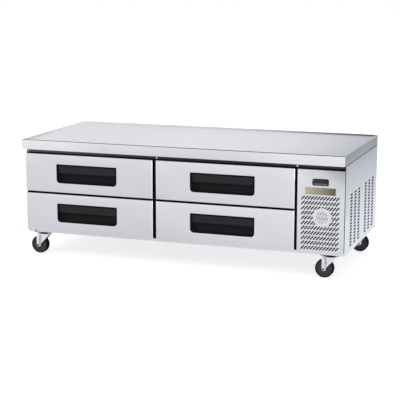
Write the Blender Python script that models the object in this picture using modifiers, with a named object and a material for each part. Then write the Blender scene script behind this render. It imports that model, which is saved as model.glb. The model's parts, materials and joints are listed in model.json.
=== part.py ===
"""Refrigerated chef base: a low four-drawer fridge on casters that carries cooking equipment.

Metres, +Z up, front towards -Y, origin on the floor under the middle of the worktop.
Cabinet parts come first, then the machine compartment, the drawers and the casters.
"""
from math import cos, hypot, pi, radians, sin

import bmesh
import bpy
from mathutils import Matrix, Vector

# Overall sizes
LENGTH = 1.829
DEPTH = 0.826
HEIGHT = 0.663
CASTER_HEIGHT = 0.130

# Fits and working allowances
TOUCH = 0.0003
RUN = 0.0006
BITE = 0.0008
OVERRUN = 0.003
WELD = 0.00002
SMOOTH_ANGLE = radians(40)

# Sheet metal
SHEET = 0.0015
FRAME_THICKNESS = 0.003

# Worktop
APRON_HEIGHT = 0.054
RIM_WIDTH = 0.004
RIM_SLOPE_WIDTH = 0.018
RIM_DEPTH = 0.008

# Cabinet planes, measured from the worktop's edges
FACE_SETBACK = 0.036
BODY_SETBACK = 0.055
BACK_SETBACK = 0.003

# Cold space
WALL_INSULATION = 0.050
BACK_INSULATION = 0.045
FLOOR_INSULATION = 0.036
TOP_INSULATION = 0.0465
BULKHEAD = 0.046
MULLION_WIDTH = 0.056
MULLION_DEPTH = 0.040
RAIL_HEIGHT = 0.044

# Drawer fronts and the machine cover
LEFT_FRONT_WIDTH = 0.7645
MIDDLE_GAP = 0.018
COVER_GAP = 0.014
MACHINE_WIDTH = 0.2565
COVER_END_GAP = 0.005
ROW_GAP = 0.010
FRONT_TOP_MARGIN = 0.029
FRONT_BOTTOM_MARGIN = 0.016
FRONT_DEPTH = 0.0128
GASKET_WIDTH = 0.012
GASKET_INSET = 0.002
PLUG_DEPTH = 0.028
PLUG_CLEARANCE = 0.005

# Handles
HANDLE_LENGTH = 0.361
HANDLE_HEIGHT = 0.106
HANDLE_SHIFT = 0.010
HANDLE_PROUD = 0.002
HANDLE_FLANGE = 0.005
HANDLE_WALL = 0.0025
HANDLE_DEPTH = 0.034
HANDLE_TOP_RADIUS = 0.005
HANDLE_BOTTOM_RADIUS = 0.017
HOOD_HEIGHT = 0.044
HOOD_SETBACK = 0.003
HOOD_SLOPE = 0.005
HOOD_THICKNESS = 0.004

# Drawer slides and pan frames
SLIDE_BACK_SPACE = 0.1297
SLIDE_HEIGHT = 0.036
SLIDE_WIDTH = 0.012
SLIDE_SHEET = 0.002
SLIDE_LIFT = 0.014
BRACKET_FOOT = 0.014
PAN_FRAME_HEIGHT = 0.095
PAN_FRAME_BACK_GAP = 0.030
PAN_LEDGE = 0.014

# Controller and nameplate
CONTROLLER_X_FROM_COVER_MIDDLE = 0.003
CONTROLLER_DROP = 0.093
CONTROLLER_LENGTH = 0.087
CONTROLLER_HEIGHT = 0.036
CONTROLLER_PROUD = 0.0035
CONTROLLER_RADIUS = 0.005
CONTROLLER_BODY_LENGTH = 0.071
CONTROLLER_BODY_HEIGHT = 0.028
CONTROLLER_BODY_DEPTH = 0.050
DISPLAY_LENGTH = 0.060
DISPLAY_HEIGHT = 0.015
DISPLAY_RISE = 0.005
DISPLAY_POCKET = 0.002
KEY_LENGTH = 0.014
KEY_HEIGHT = 0.006
KEY_DROP = 0.009
KEY_SPACING = 0.024
KEY_DEPTH = 0.004
KEY_POCKET = 0.0056
KEY_PROUD = 0.0006
PLATE_LENGTH = 0.161
PLATE_HEIGHT = 0.037
PLATE_DROP = 0.140
PLATE_THICKNESS = 0.0015
PLATE_RADIUS = 0.002

# Slanted louvre slots of the cover and the ring over them
LOUVRE_COLUMNS = 12
LOUVRE_ROWS = 11
LOUVRE_WIDTH = 0.0052
LOUVRE_RUN_SHARE = 0.0704
LOUVRE_COLUMN_PITCH = 0.01664
LOUVRE_LOW_MARGIN = 0.012
LOUVRE_TOP_MARGIN = 0.0085
RING_OUTER = 0.0495
RING_INNER = 0.030
RING_PROUD = 0.0012
RING_RISE = 0.031
RING_SIDE_STEP = 0.012

# Straight slots of the right side, as shares of its depth and height where they spread over it
SLOT_LENGTH_SHARE = 0.0605
SLOT_WIDTH = 0.0078
SLOT_ROWS = 17
SLOT_ROW_PITCH_SHARE = 0.0353
SLOT_LOWEST_SHARE = 0.0741
SLOT_COLUMN_PITCH_SHARE = 0.1132
SLOT_GROUP_COLUMNS = 3
SLOT_GROUP_START_SHARES = (0.2099, 0.6392)

# Condensing unit
COIL_SIDE_MARGIN = 0.022
COIL_FRONT_GAP = 0.014
COIL_DEPTH = 0.044
COIL_HEIGHT_SHARE = 0.689
COIL_PLATE = 0.002
COIL_FOOT = 0.016
BEND_RADIUS = 0.0125
BEND_TUBE_RADIUS = 0.0045
BEND_COUNT = 4
FAN_RADIUS = 0.080
FAN_TIP_GAP = 0.005
FAN_BLADES = 5
FAN_BLADE_WIDTH = 0.042
FAN_BLADE_THICKNESS = 0.002
FAN_HUB_RADIUS = 0.020
FAN_HUB_LENGTH = 0.018
FAN_PITCH = radians(28)
FAN_SHAFT_RADIUS = 0.003
SHROUD_DEPTH = 0.034
SHROUD_WALL = 0.002
MOTOR_RADIUS = 0.032
MOTOR_LENGTH = 0.050
STRUT_WIDTH = 0.010
COMPRESSOR_RADIUS = 0.074
COMPRESSOR_HEIGHT = 0.190
COMPRESSOR_SHOULDER = 0.025
COMPRESSOR_BACK_SPACE = 0.270
COMPRESSOR_BASE = 0.170
COMPRESSOR_BASE_THICKNESS = 0.004
COMPRESSOR_FOOT_RADIUS = 0.013
COMPRESSOR_FOOT_HEIGHT = 0.016
TERMINAL_BOX = 0.050
TERMINAL_REACH = 0.017
LINE_RADIUS = 0.005
LINE_BEND = 0.015
DRIER_RADIUS = 0.011
DRIER_LENGTH = 0.090
INLET_WIDTH = 0.050
INLET_HEIGHT = 0.028
INLET_FLANGE = 0.008
INLET_THICKNESS = 0.002
INLET_DEPTH = 0.032
INLET_RISE = 0.100
INLET_WALL = 0.003
INLET_PIN_WIDTH = 0.006
INLET_PIN_THICKNESS = 0.002
INLET_PIN_SPACING = 0.014

# Evaporator
EVAPORATOR_LENGTH = 0.420
EVAPORATOR_HEIGHT_SHARE = 0.605
EVAPORATOR_DEPTH = 0.070
EVAPORATOR_LIFT_SHARE = 0.227
EVAPORATOR_FAN_RADIUS = 0.060
EVAPORATOR_SHROUD_DEPTH = 0.026
EVAPORATOR_MOTOR_RADIUS = 0.020
EVAPORATOR_BLADE_WIDTH = 0.022

# Casters
FRONT_CASTER_END_INSET = 0.0845
REAR_CASTER_END_INSET = 0.1025
FRONT_CASTER_EDGE_INSET = 0.100
REAR_CASTER_EDGE_INSET = 0.085
WHEEL_RADIUS = 0.050
WHEEL_WIDTH = 0.032
WHEEL_DISH = 0.004
WHEEL_TREAD = 0.012
WHEEL_HUB_RADIUS = 0.015
AXLE_RADIUS = 0.005
AXLE_HEAD_RADIUS = 0.009
AXLE_HEAD = 0.003
CASTER_TRAIL = 0.034
CASTER_PLATE_LENGTH = 0.100
CASTER_PLATE_DEPTH = 0.090
CASTER_PLATE_THICKNESS = 0.003
BOSS_RADIUS = 0.028
BOSS_END_RADIUS = 0.025
BOSS_HEIGHT = 0.010
KINGPIN_RADIUS = 0.007
KINGPIN_HEIGHT = 0.009
CROWN_RADIUS = 0.035
CROWN_THICKNESS = 0.004
CROWN_LEG_REACH = 0.028
FORK_LEG = 0.003
FORK_SIDE_CLEARANCE = 0.0025
FORK_WAIST = 0.012

# Planes and spans that follow from the sizes
X_LEFT = -LENGTH / 2
X_RIGHT = LENGTH / 2
Y_FRONT = -DEPTH / 2
Y_BACK = DEPTH / 2 - BACK_SETBACK
Y_FACE = Y_FRONT + FACE_SETBACK
Y_BODY = Y_FRONT + BODY_SETBACK
Z_FLOOR = CASTER_HEIGHT
Z_TOP = HEIGHT - APRON_HEIGHT
X_MACHINE = X_RIGHT - MACHINE_WIDTH
CAVITY_X = (X_LEFT + WALL_INSULATION, X_MACHINE - BULKHEAD)
CAVITY_Y = (Y_BODY + FRAME_THICKNESS, Y_BACK - BACK_INSULATION)
CAVITY_Z = (Z_FLOOR + FLOOR_INSULATION, Z_TOP - TOP_INSULATION)
MULLION_X = X_LEFT + LEFT_FRONT_WIDTH + MIDDLE_GAP / 2
MULLION = (MULLION_X - MULLION_WIDTH / 2, MULLION_X + MULLION_WIDTH / 2)
FRONTS_Z = (Z_FLOOR + FRONT_BOTTOM_MARGIN, Z_TOP - FRONT_TOP_MARGIN)
ROW_Z = (FRONTS_Z[0] + FRONTS_Z[1]) / 2
RAIL = (ROW_Z - RAIL_HEIGHT / 2, ROW_Z + RAIL_HEIGHT / 2)
FRONT_COLUMNS = {
    "left": (X_LEFT, X_LEFT + LEFT_FRONT_WIDTH),
    "right": (X_LEFT + LEFT_FRONT_WIDTH + MIDDLE_GAP, X_MACHINE - COVER_GAP),
}
FRONT_ROWS = {
    "upper": (ROW_Z + ROW_GAP / 2, FRONTS_Z[1]),
    "lower": (FRONTS_Z[0], ROW_Z - ROW_GAP / 2),
}
OPENING_COLUMNS = {"left": (CAVITY_X[0], MULLION[0]), "right": (MULLION[1], CAVITY_X[1])}
OPENING_ROWS = {"upper": (RAIL[1], CAVITY_Z[1]), "lower": (CAVITY_Z[0], RAIL[0])}
COVER_X = (X_MACHINE, X_RIGHT - COVER_END_GAP)
COVER_MIDDLE = (COVER_X[0] + COVER_X[1]) / 2 - CONTROLLER_X_FROM_COVER_MIDDLE
SLIDE_Y = (Y_BODY + FRAME_THICKNESS + MULLION_DEPTH + TOUCH, CAVITY_Y[1] - SLIDE_BACK_SPACE)
CONTROLLER_Z = Z_TOP - CONTROLLER_DROP
PLATE_Z = Z_TOP - PLATE_DROP
INLET_Z = Z_FLOOR + INLET_RISE
LOUVRES_Z = (FRONTS_Z[0] + LOUVRE_LOW_MARGIN, PLATE_Z - PLATE_HEIGHT / 2 - LOUVRE_TOP_MARGIN)
LOUVRE_RUN = (LOUVRES_Z[1] - LOUVRES_Z[0]) * LOUVRE_RUN_SHARE
LOUVRE_ROW_PITCH = (LOUVRES_Z[1] - LOUVRES_Z[0] - LOUVRE_RUN) / (LOUVRE_ROWS - 1)
RING_CENTRE = (COVER_MIDDLE + RING_SIDE_STEP,
               (LOUVRES_Z[0] + LOUVRES_Z[1]) / 2 + RING_RISE)
SLOT_LENGTH = DEPTH * SLOT_LENGTH_SHARE
SLOT_COLUMN_PITCH = DEPTH * SLOT_COLUMN_PITCH_SHARE
SLOT_ROW_PITCH = (Z_TOP - Z_FLOOR) * SLOT_ROW_PITCH_SHARE
SLOT_LOWEST_Z = Z_FLOOR + (Z_TOP - Z_FLOOR) * SLOT_LOWEST_SHARE
COIL_HEIGHT = (Z_TOP - Z_FLOOR) * COIL_HEIGHT_SHARE
COMPRESSOR_Y = Y_BACK - COMPRESSOR_BACK_SPACE
EVAPORATOR_HEIGHT = (CAVITY_Z[1] - CAVITY_Z[0]) * EVAPORATOR_HEIGHT_SHARE
EVAPORATOR_LIFT = (CAVITY_Z[1] - CAVITY_Z[0]) * EVAPORATOR_LIFT_SHARE

# Colours as (red, green, blue), metallic, roughness
FINISHES = {
    "stainless": ((0.62, 0.63, 0.65), 1.0, 0.32),
    "galvanised": ((0.50, 0.52, 0.53), 1.0, 0.45),
    "black_plastic": ((0.025, 0.025, 0.028), 0.0, 0.4),
    "display_red": ((0.12, 0.01, 0.01), 0.0, 0.2),
    "bronze_plate": ((0.20, 0.17, 0.09), 0.6, 0.4),
    "white_liner": ((0.75, 0.76, 0.76), 0.0, 0.4),
    "foam": ((0.80, 0.72, 0.45), 0.0, 0.9),
    "board": ((0.45, 0.32, 0.20), 0.0, 0.8),
    "gasket": ((0.03, 0.03, 0.03), 0.0, 0.7),
    "aluminium": ((0.75, 0.75, 0.76), 1.0, 0.35),
    "black_enamel": ((0.02, 0.02, 0.02), 0.2, 0.35),
    "copper": ((0.72, 0.35, 0.20), 1.0, 0.3),
    "zinc": ((0.66, 0.67, 0.68), 1.0, 0.35),
    "wheel_black": ((0.03, 0.03, 0.035), 0.0, 0.6),
}


def clear_scene():
    """Remove every object, so the model starts from nothing."""
    for old in list(bpy.data.objects):
        bpy.data.objects.remove(old, do_unlink=True)


def make_collection(name):
    """Add a collection to the scene."""
    collection = bpy.data.collections.new(name)
    bpy.context.scene.collection.children.link(collection)
    return collection


def finish(name):
    """Give the material of a finish, made once."""
    material = bpy.data.materials.get(name)
    if material is None:
        colour, metallic, roughness = FINISHES[name]
        material = bpy.data.materials.new(name)
        material.use_nodes = True
        shader = material.node_tree.nodes["Principled BSDF"]
        shader.inputs["Base Color"].default_value = (*colour, 1.0)
        shader.inputs["Metallic"].default_value = metallic
        shader.inputs["Roughness"].default_value = roughness
    return material


def shape_from_bmesh(shape):
    """Turn a bmesh into a working shape in the cutters collection."""
    mesh = bpy.data.meshes.new("shape")
    shape.to_mesh(mesh)
    shape.free()
    made = bpy.data.objects.new("shape", mesh)
    CUTTERS.objects.link(made)
    made.hide_render = True
    made.display_type = "WIRE"
    return made


def as_part(name, made, material, origin=(0, 0, 0), parent=None, smooth=False):
    """Turn a working shape into a sub-part with its own finish, origin and parent."""
    made.name = name
    made.data.name = name
    CUTTERS.objects.unlink(made)
    PARTS.objects.link(made)
    made.hide_render = False
    made.display_type = "TEXTURED"
    made.data.materials.append(finish(material))
    if not made.modifiers:
        made.data.transform(Matrix.Translation(-Vector(origin)))
        made.location = origin
    if smooth:
        made.data.shade_smooth()
        made.data.set_sharp_from_angle(angle=SMOOTH_ANGLE)
    if parent is not None:
        made.location = Vector(origin) - parent.location
        made.parent = parent
    return made


def combine(part, operation, shapes):
    """Add one Boolean modifier for each shape; the shape follows the part."""
    bpy.context.view_layer.update()
    for shape in shapes:
        shape.parent = part
        shape.matrix_parent_inverse = part.matrix_world.inverted()
        modifier = part.modifiers.new(operation.lower(), "BOOLEAN")
        modifier.operation = operation
        modifier.solver = "EXACT"
        modifier.object = shape
    return part


def cut(part, *shapes):
    """Take shapes out of a part."""
    return combine(part, "DIFFERENCE", shapes)


def join(part, *shapes):
    """Add shapes to a part."""
    return combine(part, "UNION", shapes)


def box(x, y, z):
    """Make a block from its span along each axis."""
    spans = (x, y, z)
    size = Vector([high - low for low, high in spans])
    middle = Vector([(high + low) / 2 for low, high in spans])
    shape = bmesh.new()
    matrix = Matrix.Translation(middle) @ Matrix.Diagonal((*size, 1))
    bmesh.ops.create_cube(shape, size=1, matrix=matrix)
    return shape_from_bmesh(shape)


def grown(span, amount):
    """Widen a span at both ends."""
    return (span[0] - amount, span[1] + amount)


def around(middle, size):
    """Give the span of a size about its middle."""
    return (middle - size / 2, middle + size / 2)


def rod(radius, centre, axis, span, segments=16, far_radius=None):
    """Make a cylinder or cone along an axis, from span[0] to span[1]."""
    turns = {
        "X": Matrix.Rotation(pi / 2, 4, "Y"),
        "Y": Matrix.Rotation(-pi / 2, 4, "X"),
        "Z": Matrix.Identity(4),
    }
    place = Vector(centre)
    place["XYZ".index(axis)] = (span[0] + span[1]) / 2
    shape = bmesh.new()
    bmesh.ops.create_cone(
        shape, cap_ends=True, segments=segments, radius1=radius,
        radius2=radius if far_radius is None else far_radius, depth=span[1] - span[0],
        matrix=Matrix.Translation(place) @ turns[axis])
    return shape_from_bmesh(shape)


def rounded(x, z, top_radius, bottom_radius, steps=4):
    """Give the outline of a rectangle with round corners, counter-clockwise."""
    corners = (
        (x[1], z[0], -1, 1, bottom_radius, -pi / 2),
        (x[1], z[1], -1, -1, top_radius, 0),
        (x[0], z[1], 1, -1, top_radius, pi / 2),
        (x[0], z[0], 1, 1, bottom_radius, pi),
    )
    points = []
    for corner_x, corner_z, side_x, side_z, radius, start in corners:
        for step in range(steps + 1):
            angle = start + step * pi / 2 / steps
            points.append((corner_x + side_x * radius + radius * cos(angle),
                           corner_z + side_z * radius + radius * sin(angle)))
    return points


def rectangle(x, z):
    """Give the outline of a rectangle."""
    return [(x[0], z[0]), (x[1], z[0]), (x[1], z[1]), (x[0], z[1])]


def circle(centre, radius, steps=20):
    """Give the outline of a circle."""
    return [(centre[0] + radius * cos(2 * pi * step / steps),
             centre[1] + radius * sin(2 * pi * step / steps)) for step in range(steps)]


def cross(centre, reach, half):
    """Give the outline of a plus sign, 12 points."""
    arm = ((reach, -half), (reach, half), (half, half))
    points = []
    for turn_cos, turn_sin in ((1, 0), (0, 1), (-1, 0), (0, -1)):
        for along, across in arm:
            points.append((centre[0] + along * turn_cos - across * turn_sin,
                           centre[1] + along * turn_sin + across * turn_cos))
    return points


def slot(centre, length, width, angle):
    """Give the outline of a slot with pointed ends, six points."""
    half, side = length / 2, width / 2
    points = []
    for along, across in ((half, 0), (half - side, side), (side - half, side),
                          (-half, 0), (side - half, -side), (half - side, -side)):
        points.append((centre[0] + along * cos(angle) - across * sin(angle),
                       centre[1] + along * sin(angle) + across * cos(angle)))
    return points


def plate(outlines, plane, span):
    """Extrude a flat outline with its holes; the plane is XZ, YZ or XY."""
    curve = bpy.data.curves.new("outline", "CURVE")
    curve.dimensions = "2D"
    curve.fill_mode = "BOTH"
    curve.extrude = (span[1] - span[0]) / 2
    for outline in outlines:
        spline = curve.splines.new("POLY")
        spline.points.add(len(outline) - 1)
        for point, place in zip(spline.points, outline):
            point.co = (place[0], place[1], 0, 1)
        spline.use_cyclic_u = True
    drawn = bpy.data.objects.new("outline", curve)
    CUTTERS.objects.link(drawn)
    middle = (span[0] + span[1]) / 2
    drawn.matrix_world = {
        "XZ": Matrix.Translation((0, middle, 0)) @ Matrix.Rotation(pi / 2, 4, "X"),
        "YZ": Matrix.Translation((middle, 0, 0)) @ Matrix(
            ((0, 0, 1, 0), (1, 0, 0, 0), (0, 1, 0, 0), (0, 0, 0, 1))),
        "XY": Matrix.Translation((0, 0, middle)),
    }[plane]
    return mesh_from_curve(drawn)


def mesh_from_curve(drawn):
    """Make a welded mesh shape from a curve object, and remove the curve."""
    bpy.context.view_layer.update()
    evaluated = drawn.evaluated_get(bpy.context.evaluated_depsgraph_get())
    mesh = bpy.data.meshes.new_from_object(evaluated)
    shape = bmesh.new()
    shape.from_mesh(mesh)
    shape.transform(drawn.matrix_world)
    bmesh.ops.remove_doubles(shape, verts=shape.verts, dist=WELD)
    bmesh.ops.recalc_face_normals(shape, faces=shape.faces)
    bpy.data.objects.remove(drawn, do_unlink=True)
    bpy.data.meshes.remove(mesh)
    return shape_from_bmesh(shape)


def tube(points, radius, resolution=2):
    """Make a round tube along points."""
    curve = bpy.data.curves.new("tube", "CURVE")
    curve.dimensions = "3D"
    curve.bevel_depth = radius
    curve.bevel_resolution = resolution
    curve.use_fill_caps = True
    spline = curve.splines.new("POLY")
    spline.points.add(len(points) - 1)
    for point, place in zip(spline.points, points):
        point.co = (*place, 1)
    drawn = bpy.data.objects.new("tube", curve)
    CUTTERS.objects.link(drawn)
    return mesh_from_curve(drawn)


def turned(profile, steps, centre=(0, 0, 0), axis="Z", closed=False):
    """Turn a profile of (radius, height), top to bottom, with a Screw modifier."""
    mesh = bpy.data.meshes.new("shape")
    links = [(index, index + 1) for index in range(len(profile) - 1)]
    if closed:
        links.append((len(profile) - 1, 0))
    mesh.from_pydata([(radius, 0, height) for radius, height in profile], links, [])
    made = bpy.data.objects.new("shape", mesh)
    CUTTERS.objects.link(made)
    made.hide_render = True
    made.display_type = "WIRE"
    screw = made.modifiers.new("turn", "SCREW")
    screw.steps = steps
    screw.render_steps = steps
    screw.use_merge_vertices = True
    screw.merge_threshold = WELD
    screw.use_smooth_shade = True
    made.location = centre
    if axis == "Y":
        made.rotation_euler = (pi / 2, 0, 0)
    return made


def open_box(x, y, z, missing, thickness, offset):
    """Make a sheet box without one side; offset -1 keeps the outer size, 1 the inner size."""
    made = box(x, y, z)
    shape = bmesh.new()
    shape.from_mesh(made.data)
    away = Vector(missing)
    open_side = [face for face in shape.faces if face.normal.dot(away) > cos(SMOOTH_ANGLE)]
    bmesh.ops.delete(shape, geom=open_side, context="FACES_ONLY")
    shape.to_mesh(made.data)
    shape.free()
    wall = made.modifiers.new("wall", "SOLIDIFY")
    wall.thickness = thickness
    wall.offset = offset
    wall.use_even_offset = True
    return made


def empty(name, place, turn=0):
    """Add an empty that carries a moving piece on its joint's axis."""
    made = bpy.data.objects.new(name, None)
    PARTS.objects.link(made)
    made.location = place
    made.rotation_euler = (0, 0, turn)
    made.empty_display_size = BOSS_RADIUS
    return made


def channel(web_x, side, width, z, y, sheet):
    """Make a C-shaped rail along Y; its web stands at web_x and its arms point to the side."""
    arm = web_x + side * width
    inner = web_x + side * sheet
    outline = [(web_x, z[0]), (arm, z[0]), (arm, z[0] + sheet), (inner, z[0] + sheet),
               (inner, z[1] - sheet), (arm, z[1] - sheet), (arm, z[1]), (web_x, z[1])]
    return plate([outline], "XZ", y)


def make_worktop():
    """Model the worktop pan with its marine rim, and the board inside it."""
    pan = box((X_LEFT, X_RIGHT), (Y_FRONT, -Y_FRONT), (Z_TOP, HEIGHT))
    shape = bmesh.new()
    shape.from_mesh(pan.data)
    shape.faces.ensure_lookup_table()
    top = [face for face in shape.faces if face.normal.z > cos(SMOOTH_ANGLE)]
    bottom = [face for face in shape.faces if face.normal.z < -cos(SMOOTH_ANGLE)]
    bmesh.ops.inset_region(shape, faces=top, thickness=RIM_WIDTH)
    bmesh.ops.inset_region(shape, faces=top, thickness=RIM_SLOPE_WIDTH)
    bmesh.ops.translate(shape, verts=top[0].verts, vec=(0, 0, -RIM_DEPTH))
    bmesh.ops.delete(shape, geom=bottom, context="FACES_ONLY")
    shape.to_mesh(pan.data)
    shape.free()
    worktop = as_part("worktop", pan, "stainless")
    wall = worktop.modifiers.new("wall", "SOLIDIFY")
    wall.thickness = SHEET
    wall.offset = -1
    wall.use_even_offset = True
    inside = SHEET + TOUCH
    core = box((X_LEFT + inside, X_RIGHT - inside), (Y_FRONT + inside, -Y_FRONT - inside),
               (Z_TOP, HEIGHT - RIM_DEPTH - inside))
    as_part("worktop_core", core, "board")


def make_panels():
    """Model the sheets that close the cabinet."""
    z = (Z_FLOOR, Z_TOP - TOUCH)
    between = (X_LEFT + SHEET + TOUCH, X_RIGHT - SHEET - TOUCH)
    as_part("left_side_panel", box((X_LEFT, X_LEFT + SHEET), (Y_BODY, Y_BACK), z), "stainless")
    slots = [rectangle((Y_FACE, Y_BACK), z)]
    for share in SLOT_GROUP_START_SHARES:
        for column in range(SLOT_GROUP_COLUMNS):
            for row in range(SLOT_ROWS):
                centre = (Y_FRONT + DEPTH * share + column * SLOT_COLUMN_PITCH,
                          SLOT_LOWEST_Z + row * SLOT_ROW_PITCH)
                slots.append(slot(centre, SLOT_LENGTH, SLOT_WIDTH, 0))
    as_part("right_side_panel", plate(slots, "YZ", (X_RIGHT - SHEET, X_RIGHT)), "stainless")
    inlet_x = (COVER_X[0] + COVER_X[1]) / 2
    inlet_hole = rectangle(grown(around(inlet_x, INLET_WIDTH), TOUCH),
                           grown(around(INLET_Z, INLET_HEIGHT), TOUCH))
    back = plate([rectangle(between, z), inlet_hole], "XZ", (Y_BACK - SHEET, Y_BACK))
    as_part("back_panel", back, "galvanised")
    inner_y = (Y_BODY, Y_BACK - SHEET - TOUCH)
    as_part("base_pan", box(between, inner_y, (Z_FLOOR, Z_FLOOR + SHEET)), "galvanised")
    above_pan = (Z_FLOOR + SHEET + TOUCH, Z_TOP - TOUCH)
    behind_frame = (Y_BODY + FRAME_THICKNESS + TOUCH, inner_y[1])
    as_part("bulkhead_panel", box((X_MACHINE - SHEET, X_MACHINE), behind_frame, above_pan),
            "black_enamel")


def make_cold_box():
    """Model the foam, the liner and the front frame with its five openings."""
    above_pan = (Z_FLOOR + SHEET + TOUCH, Z_TOP - TOUCH)
    behind_frame = (Y_BODY + FRAME_THICKNESS + TOUCH, Y_BACK - SHEET - TOUCH)
    foam_x = (X_LEFT + SHEET + TOUCH, X_MACHINE - SHEET - TOUCH)
    foam = as_part("foam_insulation", box(foam_x, behind_frame, above_pan), "foam")
    room = SHEET + TOUCH
    cut(foam, box(grown(CAVITY_X, room), (Y_BODY - OVERRUN, CAVITY_Y[1] + room),
                  grown(CAVITY_Z, room)))
    liner = open_box(CAVITY_X, (behind_frame[0], CAVITY_Y[1]), CAVITY_Z, (0, -1, 0), SHEET, 1)
    as_part("inner_liner", liner, "white_liner")
    frame_x = (X_LEFT + SHEET + TOUCH, X_RIGHT - SHEET - TOUCH)
    bar_y = (Y_BODY + FRAME_THICKNESS - BITE, Y_BODY + FRAME_THICKNESS + MULLION_DEPTH)
    frame = as_part("front_frame", box(frame_x, (Y_BODY, Y_BODY + FRAME_THICKNESS), above_pan),
                    "black_enamel")
    join(frame, box(grown(CAVITY_X, -TOUCH), bar_y, grown(CAVITY_Z, -TOUCH)))
    through = (Y_BODY - OVERRUN, bar_y[1] + OVERRUN)
    for opening_x in OPENING_COLUMNS.values():
        for opening_z in OPENING_ROWS.values():
            cut(frame, box(opening_x, through, opening_z))
    machine_x = (X_MACHINE + GASKET_WIDTH, COVER_X[1] - GASKET_WIDTH)
    cut(frame, box(machine_x, through, CAVITY_Z))


def slide_z(row):
    """Give the height span of the fixed rail in a row."""
    low = OPENING_ROWS[row][0] + SLIDE_LIFT
    return (low, low + SLIDE_HEIGHT)


def make_slide_bracket(name, wall_x, side):
    """Model one upright sheet with feet and two fixed rails; side is where its rails point."""
    z = (CAVITY_Z[0] + TOUCH, CAVITY_Z[1] - TOUCH)
    bracket = as_part(name, channel(wall_x, side, BRACKET_FOOT, z, SLIDE_Y, SHEET), "galvanised")
    face = wall_x + side * (SHEET - BITE)
    for row in OPENING_ROWS:
        join(bracket, fixed_rail(face, side, SLIDE_WIDTH + BITE, row))


def fixed_rail(web_x, side, width, row):
    """Make the C-shaped fixed rail of one row."""
    return channel(web_x, side, width, slide_z(row), grown(SLIDE_Y, -BITE), SLIDE_SHEET)


def make_slides():
    """Model the brackets at both walls, and the pillar behind the mullion."""
    make_slide_bracket("left_slide_bracket", CAVITY_X[0] + TOUCH, 1)
    make_slide_bracket("right_slide_bracket", CAVITY_X[1] - TOUCH, -1)
    x = grown(MULLION, -TOUCH)
    z = grown(CAVITY_Z, -TOUCH)
    walls = [rectangle(x, z), rectangle(grown(x, -SHEET), grown(z, -SHEET))]
    pillar = as_part("center_slide_pillar", plate(walls, "XZ", SLIDE_Y), "galvanised")
    width = SLIDE_WIDTH + BITE - SHEET
    for row in OPENING_ROWS:
        join(pillar, fixed_rail(x[0] + BITE, -1, width, row), fixed_rail(x[1] - BITE, 1, width, row))


def make_handle(name, middle, parent):
    """Model a recessed pull: a flange, a cup behind it and a hood over its upper half."""
    x = around(middle[0], HANDLE_LENGTH)
    z = around(middle[1], HANDLE_HEIGHT)
    cup_x = grown(x, -HANDLE_FLANGE)
    cup_z = grown(z, -HANDLE_FLANGE)
    pocket_x = grown(cup_x, -HANDLE_WALL)
    pocket_z = grown(cup_z, -HANDLE_WALL)
    cup_top = HANDLE_TOP_RADIUS - HANDLE_WALL
    cup_bottom = HANDLE_BOTTOM_RADIUS - HANDLE_FLANGE
    rear = Y_FACE + HANDLE_DEPTH
    flange = plate([rounded(x, z, HANDLE_TOP_RADIUS, HANDLE_BOTTOM_RADIUS)], "XZ",
                   (Y_FACE - HANDLE_PROUD, Y_FACE - TOUCH))
    handle = as_part(name, flange, "black_plastic", (middle[0], Y_FACE, middle[1]), parent)
    join(handle, plate([rounded(cup_x, cup_z, cup_top, cup_bottom)], "XZ",
                       (Y_FACE - TOUCH - BITE, rear)))
    pocket_bottom = cup_bottom - HANDLE_WALL
    cut(handle, plate([rounded(pocket_x, pocket_z, cup_top / 2, pocket_bottom)], "XZ",
                      (Y_FACE - HANDLE_PROUD - OVERRUN, rear - HANDLE_WALL)))
    hood_front = Y_FACE + HOOD_SETBACK
    hood_low = pocket_z[1] - HOOD_HEIGHT
    hood = [(hood_front, pocket_z[1] + BITE), (hood_front + HOOD_SLOPE, hood_low),
            (hood_front + HOOD_SLOPE + HOOD_THICKNESS, hood_low),
            (hood_front + HOOD_THICKNESS, pocket_z[1] + BITE)]
    join(handle, plate([hood], "YZ", grown(pocket_x, BITE)))
    return cup_x, cup_z


def make_pan_frame(name, opening_x, row, parent):
    """Model the open frame that holds the pans, with its sliding rails."""
    rail_z = slide_z(row)
    inner_z = grown(rail_z, -SLIDE_SHEET - RUN)
    y = (Y_BODY + PLUG_DEPTH + TOUCH, SLIDE_Y[1] - PAN_FRAME_BACK_GAP)
    z = (rail_z[0], rail_z[0] + PAN_FRAME_HEIGHT)
    reach = TOUCH + SHEET + SLIDE_WIDTH + RUN
    rail_width = SLIDE_WIDTH - SLIDE_SHEET
    plates_x = (opening_x[0] + reach, opening_x[1] - reach)
    walls = [rectangle(plates_x, y), rectangle(grown(plates_x, -SHEET), grown(y, -SHEET))]
    pan_frame = as_part(name, plate(walls, "XY", z), "galvanised", parent.location, parent)
    ledge = [rectangle(grown(plates_x, -BITE), grown(y, -BITE)),
             rectangle(grown(plates_x, -PAN_LEDGE), grown(y, -PAN_LEDGE))]
    rail_y = grown(y, -BITE)
    join(pan_frame, plate(ledge, "XY", (z[1] - SHEET - BITE, z[1] - BITE)),
         channel(plates_x[0] + BITE, -1, rail_width + BITE, inner_z, rail_y, SLIDE_SHEET),
         channel(plates_x[1] - BITE, 1, rail_width + BITE, inner_z, rail_y, SLIDE_SHEET))


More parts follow.
